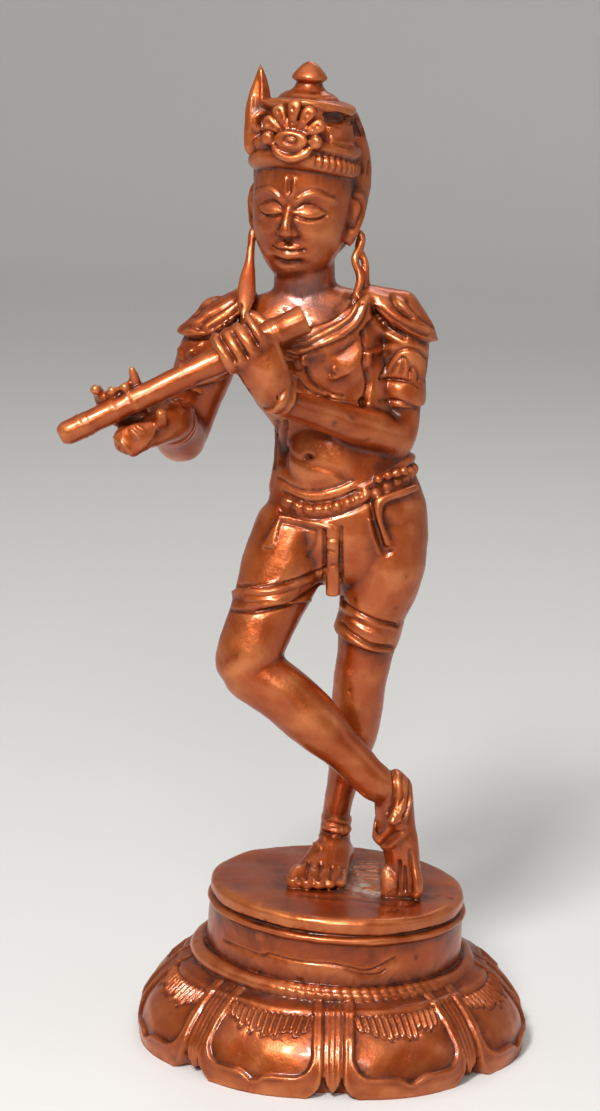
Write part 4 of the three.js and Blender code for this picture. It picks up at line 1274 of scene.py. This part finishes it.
faceMiddleMarks = {
    "mouth": (bump, 0.4, (2.6, 1.4), (0, mouth)),
    "lowerLip": (bump, 0.5, (1.15, 0.42), (0, mouth - 0.55)),
    "lipLine": (
        stroke, -0.4, 0.15,
        [(-1.75, mouth + 0.16), (-0.8, mouth - 0.02), (0, mouth + 0.03), (0.8, mouth - 0.02),
         (1.75, mouth + 0.16)],
    ),
    "lipGroove": (stroke, -0.14, 0.22, [(0, -3.0), (0, mouth + 0.65)]),
    "chinGroove": (stroke, -0.3, 0.35, [(-1.1, mouth - 1.25), (0, mouth - 1.4), (1.1, mouth - 1.25)]),
    "chin": (bump, 0.45, (1.4, 0.95), (0, face["chin"])),
    # the painted mark of the type, a long U on the forehead with a drop in it
    "paintedMark": (
        stroke, 0.2, 0.2,
        [(-0.55, 3.9), (-0.55, 2.9), (-0.3, 2.15), (0, 2.0), (0.3, 2.15), (0.55, 2.9), (0.55, 3.9)],
    ),
    "paintedLine": (stroke, -0.18, 0.16, [(0, 3.7), (0, 2.9)]),
    "paintedDrop": (bump, -0.2, (0.22, 0.3), (0, 2.6)),
}

# on the head's round chart
earMarks = {
    "groove": (stroke, -0.5, 0.32, [(9.8, 2.0), (10.2, 0.9), (10.0, -0.6), (9.7, -1.9)]),
    "hole": (bump, -0.35, (0.4, 0.7), (9.9, -3.4)),
}


def carveCrown(front, around):
    for i in range(crown["ribs"]):
        turn = math.radians(crown["ribsFrom"] + i * crown["ribStep"])
        at = turn * headRound
        rise = float(archRise(6.7 * math.cos(turn)))
        stroke(around, [(at, -4.5 - rise), (at + 0.1, -5.1 - rise), (at + 0.15, -5.8 - rise)], -0.26, 0.2)
    step = 360 / crown["panels"]
    for i in range(crown["panels"]):
        at = math.radians((i + 0.5) * step - 180) * headRound
        if abs(at) > math.radians(crown["panelsFrom"]) * headRound:
            half = math.radians(crown["panelHalf"]) * headRound
            low, high = -crown["panelLow"], -crown["panelHigh"]
            corners = [(at - half, low), (at + half, low), (at + half, high), (at - half, high)]
            patch(around, corners, -0.45, 0.15)
    x, z = crown["medallion"]
    ring = [(x + 0.75 * math.cos(a), -z + 0.42 * math.sin(a)) for a in np.linspace(0, 2 * math.pi, 13)]
    stroke(front, ring, -0.3, 0.15)
    middle = (crown["leaves"] - 1) / 2
    for i in range(crown["leaves"]):
        spread = math.radians((i - middle) * crown["leafSpread"])
        for far in crown["leafPits"]:
            at = (x + math.sin(spread) * far, -z - math.cos(spread) * far)
            bump(front, at, -0.2, 0.2, 0.2)
    for side in (-1, 1):
        draw(around, onSide(earMarks, side))
    # combed hair below the crown at the back
    for i in range(crown["hairLines"]):
        at = math.radians(crown["hairFrom"] + i * crown["hairStep"]) * headRound
        at = at if at < math.pi * headRound else at - 2 * math.pi * headRound
        stroke(around, [(at, -3.8), (at * 0.99, 0), (at * 0.97, 5.5)], -0.16, 0.22)


# The lotus: a fringe of small tongues near the top of each petal, and the rope's twist where it shows
fringe = {
    "pitch": 0.86,
    "half": 6,               # tongues on each side of the middle one
    "top": 8.9,
    "bottom": 7.5,
    "wide": 0.2,
    "high": 0.2,
    "lineAt": 9.55,          # a raised line runs round above it
    "lineHigh": 0.16,
}
twistOfRope = {"pitch": 0.6, "lean": 1.6, "depth": 0.1, "parting": 0.16}


def carveLotus():
    spots = skin["spots"]
    radius = np.hypot(spots[:, 0], spots[:, 1])
    angle = np.arctan2(spots[:, 1], spots[:, 0])
    z = spots[:, 2]
    turn, petal = petalTurn(angle)
    across = turn * radius
    dice = np.random.default_rng(5)
    on = (radius > plinth["ropeRadius"]) & (z > 5.4) & (z < 9.2)
    step = np.clip(np.round(across / fringe["pitch"]), -fringe["half"], fringe["half"]).astype(int)
    uneven = dice.uniform(-0.45, 0.35, (plinth["petals"], 2 * fringe["half"] + 1))
    bottom = fringe["bottom"] + uneven[petal, step + fringe["half"]] + 0.45 * (across / 5) ** 2
    sideways = across - step * fringe["pitch"]
    endways = np.maximum(np.maximum(bottom - z, z - fringe["top"]), 0)
    far = np.hypot(sideways, endways)
    tongues = fringe["high"] * hump(far, fringe["wide"]) - 0.2 * hump(far - 0.4, 0.14)
    skin["rise"] += np.where(on & (np.abs(across) < (fringe["half"] + 0.5) * fringe["pitch"]), tongues, 0)
    over = z - fringe["lineAt"]
    line = (radius > plinth["ropeRadius"]) & (np.abs(over) < 0.6)
    skin["rise"] += np.where(line, fringe["lineHigh"] * hump(over, 0.2), 0)
    lean = np.array(Matrix.Rotation(math.radians(plinth["drumTilt"]), 3, "Y"))
    level = (spots - (0, 0, plinth["lotusHeight"])) @ lean
    outward = np.hypot(level[:, 0], level[:, 1]) - plinth["ropeRadius"]
    rope = (np.hypot(outward, level[:, 2]) < plinth["ropeThickness"] + 0.15) & (outward > -0.5)
    turns = angle * plinth["ropeRadius"] / twistOfRope["pitch"] * math.pi
    twist = np.clip(np.sin(turns + level[:, 2] * twistOfRope["lean"]), -1, 0.3)
    front = smoothStep(math.radians(46), math.radians(18), np.abs(angle + math.pi / 2 - 0.2))
    parting = twistOfRope["parting"] * hump(outward - 0.75, 0.16)
    skin["rise"] += np.where(rope, front * (twistOfRope["depth"] * twist - parting), 0)


# Cast metal is never quite even: slow swells everywhere, and a scatter of pits and specks
unevenness = {
    "swells": ((9.0, 0.03), (4.5, 0.014), (2.1, 0.008)),     # length and height
    "waves": 5,
    "faceReach": 8,
    "faceShare": 0.4,
    "spots": 150,
    "spotSize": (0.16, 0.42),
    "spotHeights": (-0.16, -0.12, 0.1),
}


def carveUnevenness():
    dice = np.random.default_rng(7)
    spots = skin["spots"]
    fromHead = np.linalg.norm(skin["figure"] - figure["headCentre"], axis=1)
    calm = np.where(fromHead < unevenness["faceReach"], unevenness["faceShare"], 1)
    calm = calm * smoothStep(0.1, 0.8, spots[:, 2])
    for size, high in unevenness["swells"]:
        for _ in range(unevenness["waves"]):
            way = unit(dice.normal(size=3))
            skin["rise"] += calm * high * np.sin(spots @ way * (2 * math.pi / size) + dice.uniform(0, 6.3))
    for _ in range(unevenness["spots"]):
        at = spots[dice.integers(len(spots))]
        size = dice.uniform(*unevenness["spotSize"])
        high = dice.choice(unevenness["spotHeights"])
        near = np.flatnonzero(np.abs(spots - at).max(axis=1) < 1.2)
        skin["rise"][near] += high * hump(np.linalg.norm(spots[near] - at, axis=1), size)


readSkin(casting)
view = pictureChart()
front, around = headCharts()
body = onlyWhere(view, skin["figure"][:, 1] > relief["behindHands"])
held = onlyWhere(view, skin["figure"][:, 1] < relief["inHands"])
for chart, marks in (
    (body, chestMarks), (body, armMarks), (body, capeMarks), (held, handMarks), (view, farArmMarks),
    (view, skirtMarks), (view, footMarks), (view, drumMarks), (view, crownMarks),
):
    draw(chart, marks)
for side in (-1, 1):
    draw(front, onSide(faceSideMarks, side))
draw(front, onSide(faceMiddleMarks, 1))
carveCrown(front, around)
carveLotus()
carveUnevenness()
rise = np.clip(skin["rise"], relief["deepest"], relief["highest"])
carved = skin["spots"] + skin["out"] * rise[:, None]
# the underside is ground flat
carved[:, 2] = np.where(carved[:, 2] < relief["groundBelow"], 0, carved[:, 2])
setSpots(casting, carved)
print("the relief is carved")

faces = len(casting.data.polygons)
applied(casting, "DECIMATE", ratio=min(1, mostTriangles / (2 * faces)))
print("the casting has", len(casting.data.polygons), "faces")


# Finish. hollow says where dark patina sits in fine crevices and painted shade darkens broad hollows, worn
# where edges are rubbed, grey where the neck has dulled and residue where there is chalk between the feet.

finish = {
    "copper": (0.32, 0.050, 0.004, 1),
    "deep": (0.18, 0.021, 0.002, 1),
    # dark is near black: patina in the fine crevices and painted shade in the broad hollows
    "dark": (0.030, 0.004, 0.001, 1),
    "pink": (0.58, 0.19, 0.06, 1),
    "grey": (0.14, 0.065, 0.055, 1),
    "chalk": (0.38, 0.36, 0.30, 1),
    "edge": (0.85, 0.45, 0.25, 1),       # the tint of metal seen at a grazing angle
    "metallic": 0.62,
    "roughness": (0.27, 0.42),
    "coat": 0.55,
    "coatRoughness": 0.2,
    "grainStrength": 0.6,
    "grainHeight": 0.00012,
    "fineRounds": 3,         # a hollow is found by how far its point lies from the mean of those round it
    "broadRounds": 30,
    "fineHollow": 0.05,      # millimetres to full dark patina and painted shade
    "broadHollow": 0.30,
    "fineEdge": (0.012, 0.06, 0.75),     # where wear starts, how far to full wear, and its share
    "broadEdge": (0.2, 0.6, 0.25),
    "greyAt": (-5.2, -3.5, 73.0),
    "greyReach": (4.6, 4, 3.2),
    "chalkAt": (4.2, -3.0, 0.6),
    "chalkReach": (2.6, 3.2, 1.6),
}
# Mottling: the noise's scale and detail, the part of its range that is used, and what that runs to
mottle = {
    "blotches": (110, 4, 0.35, 0.68),
    "clouds": (420, 3, 0.38, 0.70),
    "grey": (300, 4, 0.3, 0.6),
    # the mottle of the hollows' darkening, which is patina in crevices and painted shade in broad hollows
    "patinaAndShade": (500, 3, 0.25, 0.6, 0.45, 1.0),
    "rub": (260, 4, 0.32, 0.62, 0.08, 0.7),
    "chalk": (700, 4, 0.42, 0.6),
    "gloss": (360, 4, 0.3, 0.7, *finish["roughness"]),
}


def spread(field, ends, degree, rounds):
    for _ in range(rounds):
        total = np.empty_like(field)
        for k in range(field.shape[1]):
            total[:, k] = (np.bincount(ends[:, 0], field[ends[:, 1], k], len(field))
                           + np.bincount(ends[:, 1], field[ends[:, 0], k], len(field)))
        field = total / degree[:, None]
    return field


def paintMasks(piece):
    spots, out = spotsOf(piece), normalsOf(piece)
    ends = np.empty(len(piece.data.edges) * 2, np.int32)
    piece.data.edges.foreach_get("vertices", ends)
    ends = ends.reshape(-1, 2)
    degree = np.maximum(np.bincount(ends.ravel(), minlength=len(spots)), 1).astype(float)
    fine = np.sum((spread(spots, ends, degree, finish["fineRounds"]) - spots) * out, axis=1)
    broad = np.sum((spread(spots, ends, degree, finish["broadRounds"]) - spots) * out, axis=1)
    # fine hollows take dark patina; broad hollows take painted shade, darkened as ambient occlusion would
    # darken them
    hollow = np.clip(fine / finish["fineHollow"], 0, 1) + np.clip(broad / finish["broadHollow"], 0, 1)
    start, reach, most = finish["fineEdge"]
    worn = np.clip((-fine - start) / reach, 0, 1) * most
    start, reach, most = finish["broadEdge"]
    worn = worn + np.clip((-broad - start) / reach, 0, 1) * most
    where = (spots - (0, 0, plinthTop)) / share
    grey = hump(np.linalg.norm((where - finish["greyAt"]) / finish["greyReach"], axis=1), 1)
    residue = hump(np.linalg.norm((where - finish["chalkAt"]) / finish["chalkReach"], axis=1), 1)
    masks = {"hollow": np.clip(hollow, 0, 1), "worn": np.clip(worn, 0, 1), "grey": grey, "residue": residue}
    for name, values in masks.items():
        soft = spread(values[:, None], ends, degree, 1)[:, 0]
        layer = piece.data.attributes.new(name, "FLOAT", "POINT")
        layer.data.foreach_set("value", soft.astype(np.float32))


def makeCopper():
    copper = bpy.data.materials.new("castCopper")
    copper.use_nodes = True
    nodes, links = copper.node_tree.nodes, copper.node_tree.links
    shader = nodes["Principled BSDF"]
    shader.inputs["Metallic"].default_value = finish["metallic"]
    shader.inputs["Specular Tint"].default_value = finish["edge"]
    shader.inputs["Coat Weight"].default_value = finish["coat"]
    shader.inputs["Coat Roughness"].default_value = finish["coatRoughness"]
    where = nodes.new("ShaderNodeTexCoord")

    def noise(scale, detail=3.0, roughness=0.55):
        texture = nodes.new("ShaderNodeTexNoise")
        texture.inputs["Scale"].default_value = scale
        texture.inputs["Detail"].default_value = detail
        texture.inputs["Roughness"].default_value = roughness
        links.new(where.outputs["Object"], texture.inputs["Vector"])
        return texture.outputs["Fac"]

    def ranged(value, low, high, toLow=0.0, toHigh=1.0):
        node = nodes.new("ShaderNodeMapRange")
        for socket, number in zip(("From Min", "From Max", "To Min", "To Max"), (low, high, toLow, toHigh)):
            node.inputs[socket].default_value = number
        links.new(value, node.inputs["Value"])
        return node.outputs["Result"]

    def mottled(name):
        scale, detail, *limits = mottle[name]
        return ranged(noise(scale, detail), *limits)

    def maths(kind, first, second):
        node = nodes.new("ShaderNodeMath")
        node.operation = kind
        for socket, value in zip(node.inputs, (first, second)):
            if isinstance(value, (int, float)):
                socket.default_value = value
            else:
                links.new(value, socket)
        return node.outputs[0]

    def mixed(amount, first, second):
        node = nodes.new("ShaderNodeMix")
        node.data_type = "RGBA"
        links.new(amount, node.inputs[0])
        for socket, value in ((node.inputs[6], first), (node.inputs[7], second)):
            if isinstance(value, tuple):
                socket.default_value = value
            else:
                links.new(value, socket)
        return node.outputs[2]

    def mask(name):
        node = nodes.new("ShaderNodeAttribute")
        node.attribute_name = name
        return node.outputs["Fac"]

    color = mixed(maths("MULTIPLY", mottled("blotches"), 0.5), finish["copper"], finish["deep"])
    color = mixed(maths("MULTIPLY", mottled("clouds"), 0.15), color, finish["deep"])
    color = mixed(maths("MULTIPLY", mask("grey"), mottled("grey")), color, finish["grey"])
    # painted shade and patina: hollows go towards near black, fine crevices as patina, broad hollows as
    # painted shade
    patinaAndShade = maths("MULTIPLY", mask("hollow"), mottled("patinaAndShade"))
    color = mixed(patinaAndShade, color, finish["dark"])
    color = mixed(maths("MULTIPLY", mask("worn"), mottled("rub")), color, finish["pink"])
    chalk = maths("MULTIPLY", mask("residue"), mottled("chalk"))
    color = mixed(chalk, color, finish["chalk"])
    links.new(color, shader.inputs["Base Color"])
    rough = maths("ADD", mottled("gloss"), maths("MULTIPLY", patinaAndShade, 0.25))
    links.new(maths("ADD", rough, maths("MULTIPLY", chalk, 0.3)), shader.inputs["Roughness"])
    height = maths("ADD", noise(900, 4), maths("MULTIPLY", noise(2600, 2, 0.6), 0.35))
    bumps = nodes.new("ShaderNodeBump")
    bumps.inputs["Strength"].default_value = finish["grainStrength"]
    bumps.inputs["Distance"].default_value = finish["grainHeight"]
    links.new(height, bumps.inputs["Height"])
    links.new(bumps.outputs["Normal"], shader.inputs["Normal"])
    return copper


paintMasks(casting)
casting.data.transform(Matrix.Scale(millimetre, 4))
casting.data.materials.clear()
casting.data.materials.append(makeCopper())
bpy.ops.object.shade_smooth()
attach(casting, "root")
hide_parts("krishna_figure")
print("the casting is finished")
